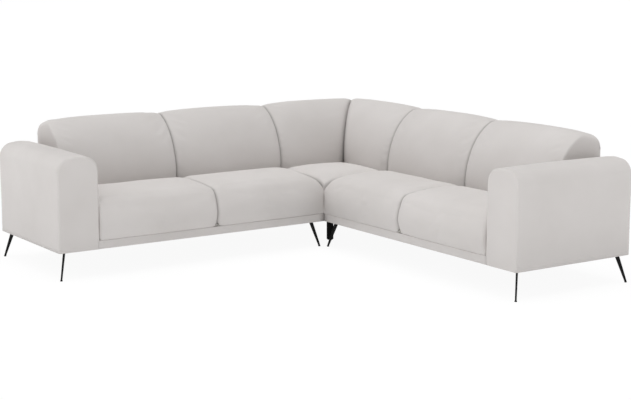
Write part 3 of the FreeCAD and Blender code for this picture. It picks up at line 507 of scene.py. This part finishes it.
def stuffing(cover, body, *replaced):
    """The foam or wadding that fills a cover, just inside it."""
    mesh = cover.data.copy()
    mesh.materials.clear()
    for vertex, normal in zip(mesh.vertices, [vertex.normal.copy() for vertex in mesh.vertices]):
        vertex.co -= normal * FOAM_INSET
        if body == "corner_module":
            vertex.co.x = max(vertex.co.x, INNER + FOAM_INSET)
            vertex.co.y = max(vertex.co.y, INNER + FOAM_INSET)
    piece = bpy.data.objects.new(f"{cover.name}_foam", mesh)
    bpy.context.scene.collection.objects.link(piece)
    return dress(piece, body, "cushion_foam", *replaced, fill=1.0)


def dress(piece, body, slot, *replaced, fill=None):
    """Give a piece the material of its slot, and put it on its body in place of its CAD nodes."""
    piece.data.materials.append(MATERIALS[slot])
    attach(piece, body)
    if replaced:
        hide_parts(*replaced)
    return piece


def chain(start, heading, turns):
    """Points along tangent arcs that turn right: each turn is a radius, an angle and its steps."""
    d, z = start
    points = [(d, z)]
    for radius, turn, steps in turns:
        for step in range(1, steps + 1):
            share = step / steps
            if turn == 0:
                straight = radius * share
                points.append((d + straight * math.cos(heading), z + straight * math.sin(heading)))
            else:
                after = heading - turn * share
                points.append((d + radius * (math.sin(heading) - math.sin(after)),
                               z + radius * (math.cos(after) - math.cos(heading))))
        d, z = points[-1]
        heading -= turn
    return points


def line(start, end, steps):
    """Points from a start, left out, to an end."""
    return [(start[0] + (end[0] - start[0]) * step / steps, start[1] + (end[1] - start[1]) * step / steps)
            for step in range(1, steps + 1)]


def spline(points, steps):
    """A smooth line through points, with the same number of steps between each two."""
    result = [points[0]]
    for index in range(len(points) - 1):
        before = points[max(index - 1, 0)]
        start, end = points[index], points[index + 1]
        after = points[min(index + 2, len(points) - 1)]
        for step in range(1, steps + 1):
            share = step / steps
            result.append(tuple(0.5 * (2 * s + (e - b) * share + (2 * b - 5 * s + 4 * e - f) * share ** 2
                                       + (3 * s - b - 3 * e + f) * share ** 3)
                                for b, s, e, f in zip(before, start, end, after)))
    return result


def columns(length, spacing=COLUMN_SPACING):
    """Places along a cushion, close together next to its seams."""
    near, last = list(NEAR_SEAM[:-1]), NEAR_SEAM[-1]
    middle = length - 2 * last
    count = max(2, round(middle / spacing))
    places = near + [last + middle * step / count for step in range(count + 1)]
    return places + [length - place for place in reversed(near)]


def swell(share):
    """How full a cushion is from its seam, 0, to its middle, 1."""
    return max(math.sin(min(share, 1 - share) * math.pi), 0) ** 0.5


def shift_outward(section, amounts):
    """A closed section moved along its own outward normals."""
    count = len(section)
    moved = []
    for index, (point, amount) in enumerate(zip(section, amounts)):
        before, after = section[index - 1], section[(index + 1) % count]
        across, up = after[0] - before[0], after[1] - before[1]
        length = math.hypot(across, up) or 1
        moved.append((point[0] - up / length * amount, point[1] + across / length * amount))
    return moved


def fold(seam_distance, along, place, seed):
    """How far the cloth stands out: in at a seam, with small puckers beside it and a broad softness."""
    groove = (-SEAM_DEPTH * math.exp(-seam_distance / SEAM_WIDTH)
              - VALLEY_DEPTH * math.exp(-(seam_distance / VALLEY_WIDTH) ** 2))
    pucker = PUCKER * math.exp(-seam_distance / PUCKER_REACH) * noise.noise(
        Vector((along / PUCKER_LENGTH, seam_distance / PUCKER_STRETCH, seed)))
    broad = SWELL_NOISE * noise.noise(place * SWELL_SCALE + Vector((seed, 0, 0)))
    return groove + (pucker * 2 + broad) * min(1, seam_distance / SEAM_CALM)


def lengths(section):
    """The distance along a section of each of its points."""
    total, result = 0, [0]
    for before, after in zip(section, section[1:]):
        total += math.hypot(after[0] - before[0], after[1] - before[1])
        result.append(total)
    return result


# Cloth

def settle(piece, held):
    """Blow a cover up a little as cloth, held at its seams and hidden sides, and keep the result."""
    mesh = piece.data
    start = [vertex.co.copy() for vertex in mesh.vertices]
    group = piece.vertex_groups.new(name="held")
    group.add(held, 1.0, "REPLACE")
    cloth = piece.modifiers.new("cloth", "CLOTH")
    settings = cloth.settings
    settings.quality = CLOTH_QUALITY
    settings.mass = CLOTH_MASS
    settings.tension_stiffness = CLOTH_STRETCH
    settings.compression_stiffness = CLOTH_STRETCH
    settings.shear_stiffness = CLOTH_SHEAR
    settings.bending_stiffness = CLOTH_BENDING
    settings.shrink_min = -CLOTH_SLACK
    settings.use_pressure = True
    settings.uniform_pressure_force = CLOTH_PRESSURE
    settings.vertex_group_mass = "held"
    settings.effector_weights.gravity = 0
    cloth.collision_settings.use_collision = False
    scene = bpy.context.scene
    for number in range(1, CLOTH_FRAMES + 1):
        scene.frame_set(number)
    shaped = piece.evaluated_get(bpy.context.evaluated_depsgraph_get()).data
    ends = [vertex.co.copy() for vertex in shaped.vertices]
    piece.modifiers.remove(cloth)
    piece.vertex_groups.clear()
    scene.frame_set(1)
    for vertex, before, after in zip(mesh.vertices, start, ends):
        move = after - before
        if move.length > CLOTH_CAP:
            move = move.normalized() * CLOTH_CAP
        vertex.co = before + move
    mesh.update()


def held_points(rings, count, shown):
    """The points that stay put: those beside a seam, and those past the last one that shows."""
    return [index for index in range(rings * count)
            if min(index // count, rings - 1 - index // count) <= CLOTH_HELD
            or index % count <= 1 or index % count >= shown]


# Back cushions

def back_section(proud):
    """The rolled back from its end, as many points whatever its fullness."""
    upright = math.pi / 2
    crest = upright - BELLY_TURN - ROLL_TURN
    radii = [BELLY_RADIUS + 3 * proud, ROLL_RADIUS + 2 * proud, CREST_RADIUS + proud / 2]
    turns = [BELLY_TURN, ROLL_TURN, crest + TOP_FALL]
    heading, across, rise = upright, 0.0, 0.0
    for radius, turn in zip(radii, turns):
        across += radius * (math.sin(heading) - math.sin(heading - turn))
        rise += radius * (math.cos(max(heading - turn, 0)) - math.cos(heading))
        heading -= turn
    across += REAR_RADIUS * (math.sin(heading) - math.sin(-upright))
    front = BACK_FRONT - proud
    upward = BACK_TOP + proud - DECK - rise
    backward = (REAR - front - across) / math.cos(TOP_FALL)
    stretches = zip([upward, *radii, backward, REAR_RADIUS], [0, *turns, 0, upright - TOP_FALL], BACK_STEPS)
    points = chain((front, DECK), upright, list(stretches))
    seam = (points[-1][0], REAR_SEAM + GAP)
    points += line(points[-1], seam, 3)
    inside = (PANEL_FRONT - GAP, REAR_SEAM + GAP)
    points += line(seam, inside, 2)
    points += line(inside, (inside[0], DECK), 6)
    points += line((inside[0], DECK), (front, DECK), 6)[:-1]
    return points


def wing_back(name, run, a0, a1, body, node, seed, open_end):
    """One back of a wing. Its outer end, where it is open to view, has a soft rim."""
    length = a1 - a0
    rings, seams = [], []
    for distance in columns(length):
        share = distance / length
        proud = BACK_CROWN * swell(share)
        seam = min(distance, length - distance)
        if open_end and distance > length / 2:
            rim = max(0, 1 - (length - distance) / END_ROUND)
            retreat = END_ROUND * END_DRAW * (1 - math.sqrt(max(0, 1 - rim ** 2)))
            proud = BACK_CROWN * max(swell(share), END_FULLNESS) - retreat
            seam = max(seam, FAR_FROM_SEAM)
        section = back_section(proud)
        along = lengths(section)
        amounts = [fold(seam, s, run.at(a0 + distance, d, z), seed) for s, (d, z) in zip(along, section)]
        section = shift_outward(section, amounts)
        rings.append([run.at(a0 + distance, min(d, REAR), z) for d, z in section])
        seams += [seam] * len(section)
    piece = ring_mesh(name, rings)
    mark_painted_seam_shade(piece, seams)
    settle(piece, held_points(len(rings), len(rings[0]), BACK_POINTS_SHOWN))
    stuffing(piece, body, f"{body.removesuffix('_module')}_back_foams")
    return dress(piece, body, "cover_fabric", node, fill=0.8)


def fanned(run, turn, share, d, z):
    """A place on a section of the corner's back, turned about the inner corner."""
    return run.at(d * math.tan(turn) + TOUCH * (1 - share) - TOUCH * share, d, z)


def corner_back(name, run, node, seed):
    """One back of the corner, from its seam with the wing to the mitre."""
    rings, seams = [], []
    reach = math.pi / 4
    for distance in columns(reach, FAN_SPACING):
        share = distance / reach
        proud = BACK_CROWN * swell(share)
        section = back_section(proud)
        along = lengths(section)
        base = [fanned(run, distance, share, d, z) for d, z in section]
        amounts = []
        for s, (d, z), place in zip(along, section, base):
            seam = min(distance, reach - distance) * d
            amounts.append(fold(seam, s, place, seed))
            seams.append(seam)
        moved = shift_outward(section, amounts)
        rings.append([fanned(run, distance, share, min(d, REAR), z) for d, z in moved])
    piece = ring_mesh(name, rings)
    mark_painted_seam_shade(piece, seams)
    settle(piece, held_points(len(rings), len(rings[0]), BACK_POINTS_SHOWN))
    stuffing(piece, "corner_module", "corner_back_foams")
    return dress(piece, "corner_module", "cover_fabric", node, fill=0.8)


# Seat cushions

def seat_section(nose, front, lift):
    """A seat from its end: nose 0 is the upright inner corner, 1 the full rolled front."""
    edge, shoulder = SEAT_EDGE, SHOULDER
    bottom, rear, top = SEAT_BOTTOM, SEAT_REAR, SEAT_EDGE + SEAT_ARCH
    middle = (NOSE_DEPTH + rear) / 2
    full = [(SEAT_TUCK - front * 0.4, bottom), (-SEAT_BULGE - front, (bottom + shoulder) / 2),
            (SEAT_TUCK - front, shoulder + lift / 2),
            (NOSE_TOP_DEPTH - front / 2, edge - NOSE_TOP_DROP + lift * FULLNESS_SHARE),
            (NOSE_DEPTH, edge + lift), (middle, top + lift),
            (rear - REAR_TURN, edge + lift / 2 + 0.003), (rear, edge + lift / 2 - REAR_DROP)]
    upright = [(0.0005, bottom), (0.0003, (bottom + shoulder) / 2), (0.002, shoulder - 0.011),
               (0.025, shoulder + 0.016), (NOSE_DEPTH, edge - CORNER_DIP - 0.005),
               (middle, edge - CORNER_DIP + 0.009), (rear - REAR_TURN, edge - 0.008),
               (rear, edge - 0.009 - REAR_DROP)]
    points = [(u[0] + (f[0] - u[0]) * nose, u[1] + (f[1] - u[1]) * nose) for u, f in zip(upright, full)]
    points = spline(points, 10)
    points += line(points[-1], (rear, DECK), 4)
    points += line((rear, DECK), (BORDER_REAR, DECK), 6)
    points += line((BORDER_REAR, DECK), (BORDER_REAR, bottom), 3)
    points += line((BORDER_REAR, bottom), points[0], 2)[:-1]
    return points


def wing_seat(name, run, a0, a1, body, node, seed, inner_corner, by_arm):
    """One seat of a wing."""
    length = a1 - a0
    rings, seams = [], []
    for distance in columns(length):
        share = distance / length
        lift = SEAT_CROWN * swell(share)
        nose = 1 - max(0, 1 - share * CORNER_TURN_SHARE) ** 2 if inner_corner else 1.0
        section = seat_section(nose, FULLNESS_SHARE * lift * nose, lift)
        along = lengths(section)
        at_corner = inner_corner and distance < length / 2
        seam = length - distance if at_corner else min(distance, length - distance)
        if by_arm and distance > length / 2:
            seam = max(seam, FAR_FROM_SEAM)
        amounts = [fold(seam, s, run.at(a0 + distance, d, z), seed)
                   for s, (d, z) in zip(along, section)]
        if inner_corner:
            amounts = [amount - corner_seam(distance, d, z) for amount, (d, z) in zip(amounts, section)]
        section = shift_outward(section, amounts)
        turn = max(0, 1 - (length - distance) / NOSE_ROUND) if by_arm else 0
        retreat = NOSE_ROUND * (1 - math.sqrt(max(0, 1 - turn ** 2)))
        section = [(d + retreat * max(0, 1 - max(d, 0) / ARM_TUCK_DEPTH),
                    z - retreat * ARM_TUCK_DROP * min(1, max(0, d / ARM_TUCK_DEPTH)))
                   if z > DECK or d < BORDER_REAR else (d, z) for d, z in section]
        rings.append([run.at(a0 + distance, min(d, SEAT_REAR), max(z, SEAT_BOTTOM)) for d, z in section])
        seams += [distance if at_corner and z > SHOULDER else seam for d, z in section]
    piece = ring_mesh(name, rings)
    mark_painted_seam_shade(piece, seams)
    settle(piece, held_points(len(rings), len(rings[0]), SEAT_POINTS_SHOWN))
    stuffing(piece, body, f"{body.removesuffix('_module')}_seat_foams")
    return dress(piece, body, "cover_fabric", node, fill=0.8)


def corner_seam(distance, d, z):
    """How far a seat draws in along its seam with the corner seat and at the inner corner."""
    along_top = SEAM_DEPTH * math.exp(-distance / SEAM_WIDTH) + VALLEY_DEPTH * math.exp(
        -(distance / VALLEY_WIDTH) ** 2)
    upper = min(1, max(0, (z - SHOULDER + CORNER_SEAM_BELOW) / CORNER_SEAM_RISE))
    across, rise = CORNER_PUCKER_AT
    reach = math.hypot(distance - across, (z - SHOULDER - rise) * CORNER_PUCKER_SQUASH)
    if d >= CORNER_PUCKER_DEPTH:
        return along_top * upper
    return along_top * upper + CORNER_PUCKER * math.exp(-(reach / CORNER_PUCKER_SIZE) ** 2)


def corner_height(u, v):
    """The top of the corner seat over its two distances from the inner corner."""
    edge = SEAT_EDGE - CORNER_EDGE_DROP
    span = SEAT_REAR - GAP

    def seam_height(place):
        return edge - (CORNER_NOSE - CORNER_EDGE_DROP) * math.exp(-place / CORNER_NOSE_REACH)

    def fullness(place):
        share = min(max((place - GAP) / span, 0), 1)
        return math.sin(math.pi * share) ** 0.6 if 0 < share < 1 else 0.0

    puff = (SEAT_CROWN + CORNER_PUFF) * fullness(u) * fullness(v)
    dip = ((edge - seam_height(u)) * math.exp(-v / CORNER_DIP_REACH)
           + (edge - seam_height(v)) * math.exp(-u / CORNER_DIP_REACH))
    corner = (edge - seam_height(0)) * math.exp(-(u + v) / CORNER_BOTH_REACH)
    return edge + puff - max(dip - corner, 0) * CORNER_DIP_SHARE


def corner_seat():
    """The crowned square cushion of the corner."""
    run = Run(1, False)
    span = SEAT_REAR - GAP
    places = columns(span, CORNER_SPACING)
    rings, seams = [], []
    for u_distance in places:
        u = GAP + u_distance
        seam_u = min(u_distance, span - u_distance)
        ring = []
        for v_distance in places:
            v = GAP + v_distance
            seam = min(seam_u, v_distance, span - v_distance)
            point = run.at(u, v, corner_height(u, v))
            rear_edge = min(span - u_distance, span - v_distance)
            rear_fall = REAR_DROP * CORNER_REAR_SHARE * math.exp(-(rear_edge / CORNER_REAR_REACH) ** 2)
            point.z += fold(seam, u + v, point, CORNER_SEAT_SEED) - rear_fall
            ring.append(point)
            seams.append(seam)
        ring += [run.at(u, SEAT_REAR, DECK), run.at(u, GAP, DECK)]
        seams += [1, 1]
        rings.append(ring)
    piece = ring_mesh("corner_seat_cushion", rings)
    mark_painted_seam_shade(piece, seams)
    settle(piece, held_points(len(rings), len(rings[0]), len(places) - CLOTH_HELD - 1))
    stuffing(piece, "corner_module", "corner_seat_foam")
    return dress(piece, "corner_module", "cover_fabric", "corner_seat", fill=0.8)


def inner_corner_cover():
    """The folded cloth that closes the inner corner behind the two seats."""
    run = Run(1, False)
    near, far, near_seat = GAP, FOLD_REACH, GAP + FOLD_EDGE
    rings = []
    for step in range(FOLD_STEPS + 1):
        z = FLOOR_GAP + FOLD_BASE + (DECK + FOLD_TOP - FLOOR_GAP) * step / FOLD_STEPS
        ease = FOLD_EASE * math.sin(step * FOLD_TURN)
        outline = ((near + ease, far), (far, far), (far, near + ease),
                   (near + FOLD_BEND, near_seat), (near_seat, near + FOLD_BEND))
        rings.append([run.at(u, v, z) for u, v in outline])
    piece = ring_mesh("inner_corner_cover", rings)
    return dress(piece, "corner_module", "cover_fabric")


# Arms

def arm_section(inset, drop, proud):
    """An arm from its end: up its inner side, over the top and down its outer side."""
    inner, outer = ARM_INNER + inset, REACH - inset
    top = ARM_TOP - drop
    round_over = ARM_ROUND - inset / 2
    flat = outer - inner - 2 * round_over
    points = line((inner, FLOOR_GAP), (inner, top - round_over), ARM_SIDE_STEPS)
    points = [(inner, FLOOR_GAP)] + points
    for step in range(1, ARM_ROUND_STEPS + 1):
        angle = math.pi / 2 * step / ARM_ROUND_STEPS
        points.append((inner + round_over * (1 - math.cos(angle)), top - round_over * (1 - math.sin(angle))))
    for step in range(1, ARM_TOP_STEPS + 1):
        share = step / ARM_TOP_STEPS
        points.append((inner + round_over + flat * share, top + proud * math.sin(math.pi * share)))
    for step in range(1, ARM_ROUND_STEPS + 1):
        angle = math.pi / 2 * step / ARM_ROUND_STEPS
        points.append((outer - round_over * (1 - math.sin(angle)), top - round_over * (1 - math.cos(angle))))
    points += line((outer, top - round_over), (outer, FLOOR_GAP), ARM_SIDE_STEPS)
    points += line((outer, FLOOR_GAP), (inner, FLOOR_GAP), 6)[:-1]
    return points


def arm(side, run, seed):
    """The rounded block arm with softly rolled front and rear edges."""
    stations = []
    for step in range(ARM_EDGE_STEPS + 1):
        angle = math.pi / 2 * step / ARM_EDGE_STEPS
        stations.append((ARM_FRONT_EDGE * (1 - math.cos(angle)), ARM_FRONT_EDGE * (1 - math.sin(angle)), 1.0))
    straight = REAR - ARM_FRONT_EDGE - ARM_REAR_EDGE
    for step in range(1, ARM_LENGTH_STEPS):
        stations.append((ARM_FRONT_EDGE + straight * step / ARM_LENGTH_STEPS, 0, 1.0))
    for step in range(ARM_EDGE_STEPS + 1):
        angle = math.pi / 2 * (1 - step / ARM_EDGE_STEPS)
        depth = REAR - ARM_REAR_EDGE * (1 - math.cos(angle))
        stations.append((depth, ARM_REAR_EDGE * (1 - math.sin(angle)), ARM_REAR_SHARE))
    rings = []
    for d, lag, side_share in stations:
        mid = math.sin(math.pi * min(max(d / REAR, 0), 1))
        section = arm_section(lag * side_share, lag - ARM_CROWN * mid, ARM_CROWN)
        amounts = [fold(2 * FAR_FROM_SEAM, 0, run.at(a, d, z), seed) * ARM_SOFTNESS for a, z in section]
        section = shift_outward(section, amounts)
        rings.append([run.at(min(max(a, ARM_INNER), REACH), d, max(z, FLOOR_GAP)) for a, z in section])
    piece = ring_mesh(f"{side}_arm", rings)
    stuffing(piece, f"{side}_module", f"{side}_arm_padding")
    return dress(piece, f"{side}_module", "cover_fabric", f"{side}_arm_cover", fill=0.9)


# Borders and outside backs

def strip(name, run, a0, a1, outline, body, slot, *replaced):
    """A long straight piece of one rounded outline in depth and height."""
    steps = max(2, round((a1 - a0) / STRIP_SPACING))
    rings = [[run.at(a0 + (a1 - a0) * step / steps, d, z) for d, z in outline] for step in range(steps + 1)]
    piece = ring_mesh(name, rings)
    return dress(piece, body, slot, *replaced)


def rounded_outline(d0, d1, z0, z1, radius):
    """A rectangle in depth and height with rounded corners, in the order of the cushions' sections."""
    points = []
    corners = ((d0 + radius, z1 - radius, math.pi), (d1 - radius, z1 - radius, math.pi / 2),
               (d1 - radius, z0 + radius, 0), (d0 + radius, z0 + radius, -math.pi / 2))
    for centre_d, centre_z, start in corners:
        for step in range(STRIP_EDGE_STEPS + 1):
            angle = start - math.pi / 2 * step / STRIP_EDGE_STEPS
            points.append((centre_d + radius * math.cos(angle), centre_z + radius * math.sin(angle)))
    return points


# Lining, staples and screws

def grid_lines(start, end, marks):
    """Even places from a start to an end, with the marks that lie between."""
    steps = max(2, round((end - start) / LINING_GRID))
    places = [start + (end - start) * step / steps for step in range(steps + 1)]
    return sorted(set(places + [mark for mark in marks if start < mark < end]))


def inside_hole(holes, a, d):
    """True where a place lies in one of the cut-outs."""
    return any(a0 < a < a1 and d0 < d < d1 for a0, a1, d0, d1 in holes)


def staples(name, run, span, holes, body):
    """Flat wire staples along the edges of a lining."""
    a0, a1, d0, d1 = span
    half, wire, rise = STAPLE_LENGTH / 2, STAPLE_WIRE, STAPLE_RISE
    outline = [(-half, rise), (-half, -wire), (half, -wire), (half, rise), (half - wire, rise),
               (half - wire, 0), (wire - half, 0), (wire - half, rise)]
    low = FLOOR_GAP + LINING_TOP - LINING_THICKNESS
    rows = []
    edges = ((True, a0, a1, d0 + STAPLE_INSET), (True, a0, a1, d1 - STAPLE_INSET),
             (False, d0, d1, a0 + STAPLE_INSET), (False, d0, d1, a1 - STAPLE_INSET))
    for along_a, start, end, fixed in edges:
        count = max(2, round((end - start) / STAPLE_SPACING))
        for step in range(count):
            place = start + (end - start) * (step + 0.5) / count
            a, d = (place, fixed) if along_a else (fixed, place)
            if inside_hole(holes, a, d):
                continue
            rings = [[run.at(a + u, d + side, low + z) if along_a else run.at(a + side, d + u, low + z)
                      for u, z in outline] for side in (-wire, wire)]
            rows.append(rings)
    return dress(small_parts(name, rows), body, "connector_steel")


def lining(name, run, span, holes, body, node):
    """Dark cloth stapled under a frame, with cut-outs for the plates of legs and feet."""
    a0, a1, d0, d1 = span
    lines_a = grid_lines(a0, a1, [mark for hole in holes for mark in hole[:2]])
    lines_d = grid_lines(d0, d1, [mark for hole in holes for mark in hole[2:]])
    shape = bmesh.new()
    corners = {}
    for i, a in enumerate(lines_a):
        for j, d in enumerate(lines_d):
            slack = math.sin(math.pi * (a - a0) / (a1 - a0)) * math.sin(math.pi * (d - d0) / (d1 - d0))
            height = FLOOR_GAP + LINING_TOP - LINING_SAG * max(slack, 0) ** LINING_FLATNESS
            corners[i, j] = shape.verts.new(run.at(a, d, height))
    for i in range(len(lines_a) - 1):
        for j in range(len(lines_d) - 1):
            middle_a, middle_d = (lines_a[i] + lines_a[i + 1]) / 2, (lines_d[j] + lines_d[j + 1]) / 2
            if inside_hole(holes, middle_a, middle_d):
                continue
            shape.faces.new([corners[i, j], corners[i + 1, j], corners[i + 1, j + 1], corners[i, j + 1]])
    bmesh.ops.delete(shape, geom=[corner for corner in shape.verts if not corner.link_faces], context="VERTS")
    bmesh.ops.recalc_face_normals(shape, faces=shape.faces)
    shape.normal_update()
    if shape.faces[:][0].normal.z < 0:
        bmesh.ops.reverse_faces(shape, faces=shape.faces)
    bmesh.ops.solidify(shape, geom=shape.faces[:], thickness=LINING_THICKNESS)
    mesh = bpy.data.meshes.new(name)
    shape.to_mesh(mesh)
    shape.free()
    piece = dress(face_outward(name, mesh), body, "lining_cloth", node)
    fixings = staples(f"{name}_staples", run, span, holes, body)


def screws(name, centres, offset, underside, body):
    """Domed screw heads at the four corners of each plate."""
    rows = []
    for centre_x, centre_y in centres:
        for across in (-offset, offset):
            for along in (-offset, offset):
                rings = []
                for share, drop in SCREW_PROFILE:
                    radius = SCREW_HEAD * share
                    angles = [2 * math.pi * step / SCREW_SIDES for step in range(SCREW_SIDES)]
                    rings.append([Vector((centre_x + across + radius * math.cos(angle),
                                          centre_y + along + radius * math.sin(angle),
                                          underside - drop)) for angle in angles])
                rows.append(rings)
    return dress(small_parts(name, rows), body, "connector_steel")


def wing_underside(side, run):
    """The linings under a wing's seats and arm, and the screws of its leg plates."""
    module, depth = f"{side}_module", REAR + GAP
    near, far = LEG_PLATE_EDGE, LEG_PLATE_END
    ends_d = ((near, far), (depth - far, depth - near))
    seat_holes = [(near, far, *end) for end in ends_d]
    seat_span = (FRAME_END, ARM_INNER - GAP, FRAME_FRONT, PANEL_FRONT)
    lining(f"{side}_seat_lining", run, seat_span, seat_holes, module,
           f"{side}_dust_cover")
    arm_holes = [(REACH - far, REACH - near, *end) for end in ends_d]
    arm_span = (ARM_INNER + ARM_WADDING, REACH - ARM_WADDING, ARM_WADDING, depth - ARM_WADDING * 4 / 3)
    lining(f"{side}_arm_lining", run, arm_span, arm_holes, module,
           f"{side}_dust_cover")
    plates = [run.at((a0 + a1) / 2, (d0 + d1) / 2, 0) for a0, a1, d0, d1 in seat_holes + arm_holes]
    screws(f"{side}_leg_screws", [(plate.x, plate.y) for plate in plates], SCREW_OFFSET,
           FRAME_BOTTOM - LEG_PLATE_THICKNESS, module)


def corner_underside():
    """The lining under the corner and the screws of its feet."""
    run = Run(1, False)
    holes, centres = [], []
    for place in ("front", "left", "right", "rear"):
        low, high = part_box(f"corner_{place}_foot")
        holes.append((low.x - INNER - GAP, high.x - INNER + GAP, low.y - INNER - GAP, high.y - INNER + GAP))
        centres.append(((low.x + high.x) / 2, (low.y + high.y) / 2))
    lining("corner_lining", run, (FRAME_END, PANEL_FRONT, FRAME_END, PANEL_FRONT), holes, "corner_module",
           "corner_dust_cover")
    underside = FRAME_BOTTOM - FOOT_FLANGE_THICKNESS
    screws("corner_foot_screws", centres, FOOT_SCREW_OFFSET, underside, "corner_module")


# All visible pieces

for side, run in WINGS:
    wing_underside(side, run)
corner_underside()

for side, run in WINGS:
    module, number = f"{side}_module", WING_SEEDS[side]
    wing_seat(f"{side}_inner_seat_cushion", run, TOUCH, SEAT_MIDDLE + TOUCH, module, f"{side}_inner_seat",
              number, inner_corner=True, by_arm=False)
    wing_seat(f"{side}_outer_seat_cushion", run, SEAT_MIDDLE + GAP - TOUCH, ARM_INNER - TOUCH, module,
              f"{side}_outer_seat", number + 1, inner_corner=False, by_arm=True)
    wing_back(f"{side}_inner_back_cushion", run, TOUCH, BACK_MIDDLE + TOUCH, module, f"{side}_inner_back",
              number + 2, open_end=False)
    wing_back(f"{side}_outer_back_cushion", run, BACK_MIDDLE + GAP - TOUCH, ARM_INNER - TOUCH, module,
              f"{side}_outer_back", number + 3, open_end=True)
    arm(side, run, number + 4)
    strip(f"{side}_border", run, START, ARM_INNER + ARM_FRONT_EDGE,
          rounded_outline(0, BORDER_REAR, FLOOR_GAP, BORDER_TOP, BORDER_EDGE), module, "cover_fabric",
          f"{side}_base_border")
    strip(f"{side}_back_panel", run, START, ARM_INNER - GAP,
          rounded_outline(PANEL_FRONT, REAR, FLOOR_GAP, REAR_SEAM, PANEL_EDGE), module, "cover_fabric",
          f"{side}_outside_back")

for side, run in CORNER_SIDES:
    corner_back(f"corner_{side}_back_cushion", run, f"corner_{side}_back",
                CORNER_BACK_SEEDS[side])
    strip(f"corner_{side}_back_panel", run, GAP, REAR if side == "left" else PANEL_FRONT,
          rounded_outline(PANEL_FRONT, REAR, FLOOR_GAP, REAR_SEAM, PANEL_EDGE), "corner_module",
          "cover_fabric", "corner_outside_backs")
corner_seat()
inner_corner_cover()

for part in frame["record"]["subparts"]:
    item = frame["nodes"].get(part["node"])
    if item is not None:
        item.data.materials.clear()
        item.data.materials.append(MATERIALS[part["material_slot"]])


# Floor, light and camera

def floor():
    """A white floor that lights the sofa from below and keeps a faint shadow."""
    mesh = bpy.data.meshes.new("floor")
    reach = FLOOR_REACH
    mesh.from_pydata([(-reach, -reach, 0), (reach, -reach, 0), (reach, reach, 0), (-reach, reach, 0)], [],
                     [(0, 1, 2, 3)])
    piece = bpy.data.objects.new("floor", mesh)
    bpy.context.scene.collection.objects.link(piece)
    material, nodes, links, shader = new_material("floor")
    shader.inputs["Base Color"].default_value = (FLOOR_GREY, FLOOR_GREY, FLOOR_GREY, 1)
    shader.inputs["Roughness"].default_value = 0.9
    bounce = nodes.new("ShaderNodeEmission")
    # Painted shade: the floor's glow is weaker near and under the sofa, as if the sofa shaded it
    fade = nodes.new("ShaderNodeMapRange")
    fade.interpolation_type = "SMOOTHSTEP"
    fade.inputs["From Min"].default_value = FADE_START
    fade.inputs["From Max"].default_value = FADE_END
    fade.inputs["To Min"].default_value = FLOOR_BOUNCE * FADE_LEAST
    fade.inputs["To Max"].default_value = FLOOR_BOUNCE
    links.new(outside_distance(nodes, links), fade.inputs["Value"])
    links.new(fade.outputs["Result"], bounce.inputs["Strength"])
    lit = nodes.new("ShaderNodeAddShader")
    links.new(shader.outputs["BSDF"], lit.inputs[0])
    links.new(bounce.outputs["Emission"], lit.inputs[1])
    white = nodes.new("ShaderNodeEmission")
    white.inputs["Strength"].default_value = FLOOR_WHITE
    seen = nodes.new("ShaderNodeMixShader")
    seen.inputs["Fac"].default_value = FLOOR_WHITE_SHARE
    links.new(shader.outputs["BSDF"], seen.inputs[1])
    links.new(white.outputs["Emission"], seen.inputs[2])
    path = nodes.new("ShaderNodeLightPath")
    mix = nodes.new("ShaderNodeMixShader")
    links.new(path.outputs["Is Camera Ray"], mix.inputs["Fac"])
    links.new(lit.outputs["Shader"], mix.inputs[1])
    links.new(seen.outputs["Shader"], mix.inputs[2])
    links.new(mix.outputs["Shader"], nodes["Material Output"].inputs["Surface"])
    mesh.materials.append(material)


def outside_distance(nodes, links):
    """How far a place on the floor lies outside the sofa's two wings."""
    place = nodes.new("ShaderNodeTexCoord")
    axes = nodes.new("ShaderNodeSeparateXYZ")
    links.new(place.outputs["Object"], axes.inputs["Vector"])
    outer = cad_box[1][0]
    wings = []
    for along, deep in (("X", "Y"), ("Y", "X")):
        side = maths(nodes, links, "SUBTRACT", maths(nodes, links, "ABSOLUTE", axes.outputs[along], 0), outer)
        front = maths(nodes, links, "SUBTRACT", INNER, axes.outputs[deep])
        rear = maths(nodes, links, "SUBTRACT", axes.outputs[deep], outer)
        wings.append(maths(nodes, links, "MAXIMUM", maths(nodes, links, "MAXIMUM", side, front), rear))
    return maths(nodes, links, "MINIMUM", *wings)


def sun(name, energy, turn, height):
    """A broad, soft lamp, its turn measured from the front toward the left."""
    lamp = bpy.data.lights.new(name, "SUN")
    lamp.energy = energy
    lamp.angle = LAMP_SPREAD
    item = bpy.data.objects.new(name, lamp)
    bpy.context.scene.collection.objects.link(item)
    around, up = math.radians(turn), math.radians(height)
    beam = Vector((math.sin(around) * math.cos(up), math.cos(around) * math.cos(up), -math.sin(up)))
    item.rotation_euler = beam.to_track_quat("-Z", "Y").to_euler()


def studio():
    """Two soft lamps and an even white surround."""
    world = bpy.data.worlds.new("studio")
    bpy.context.scene.world = world
    world.use_nodes = True
    nodes, links = world.node_tree.nodes, world.node_tree.links
    background = nodes["Background"]
    path = nodes.new("ShaderNodeLightPath")
    strength = nodes.new("ShaderNodeMapRange")
    strength.inputs["To Min"].default_value = SURROUND
    strength.inputs["To Max"].default_value = 1.0
    links.new(path.outputs["Is Camera Ray"], strength.inputs["Value"])
    links.new(strength.outputs["Result"], background.inputs["Strength"])
    background.inputs["Color"].default_value = (1, 1, 1, 1)
    for name, energy, turn, height in LAMPS:
        sun(name, energy, turn, height)


def camera():
    """The photograph's camera."""
    data = bpy.data.cameras.new("camera")
    data.lens = CAMERA_LENS
    data.clip_end = 200
    item = bpy.data.objects.new("camera", data)
    item.location = CAMERA_PLACE
    item.rotation_euler = CAMERA_TURN
    bpy.context.scene.collection.objects.link(item)
    bpy.context.scene.camera = item


floor()
studio()
camera()
bpy.context.scene.view_settings.view_transform = "Standard"

bpy.context.view_layer.update()
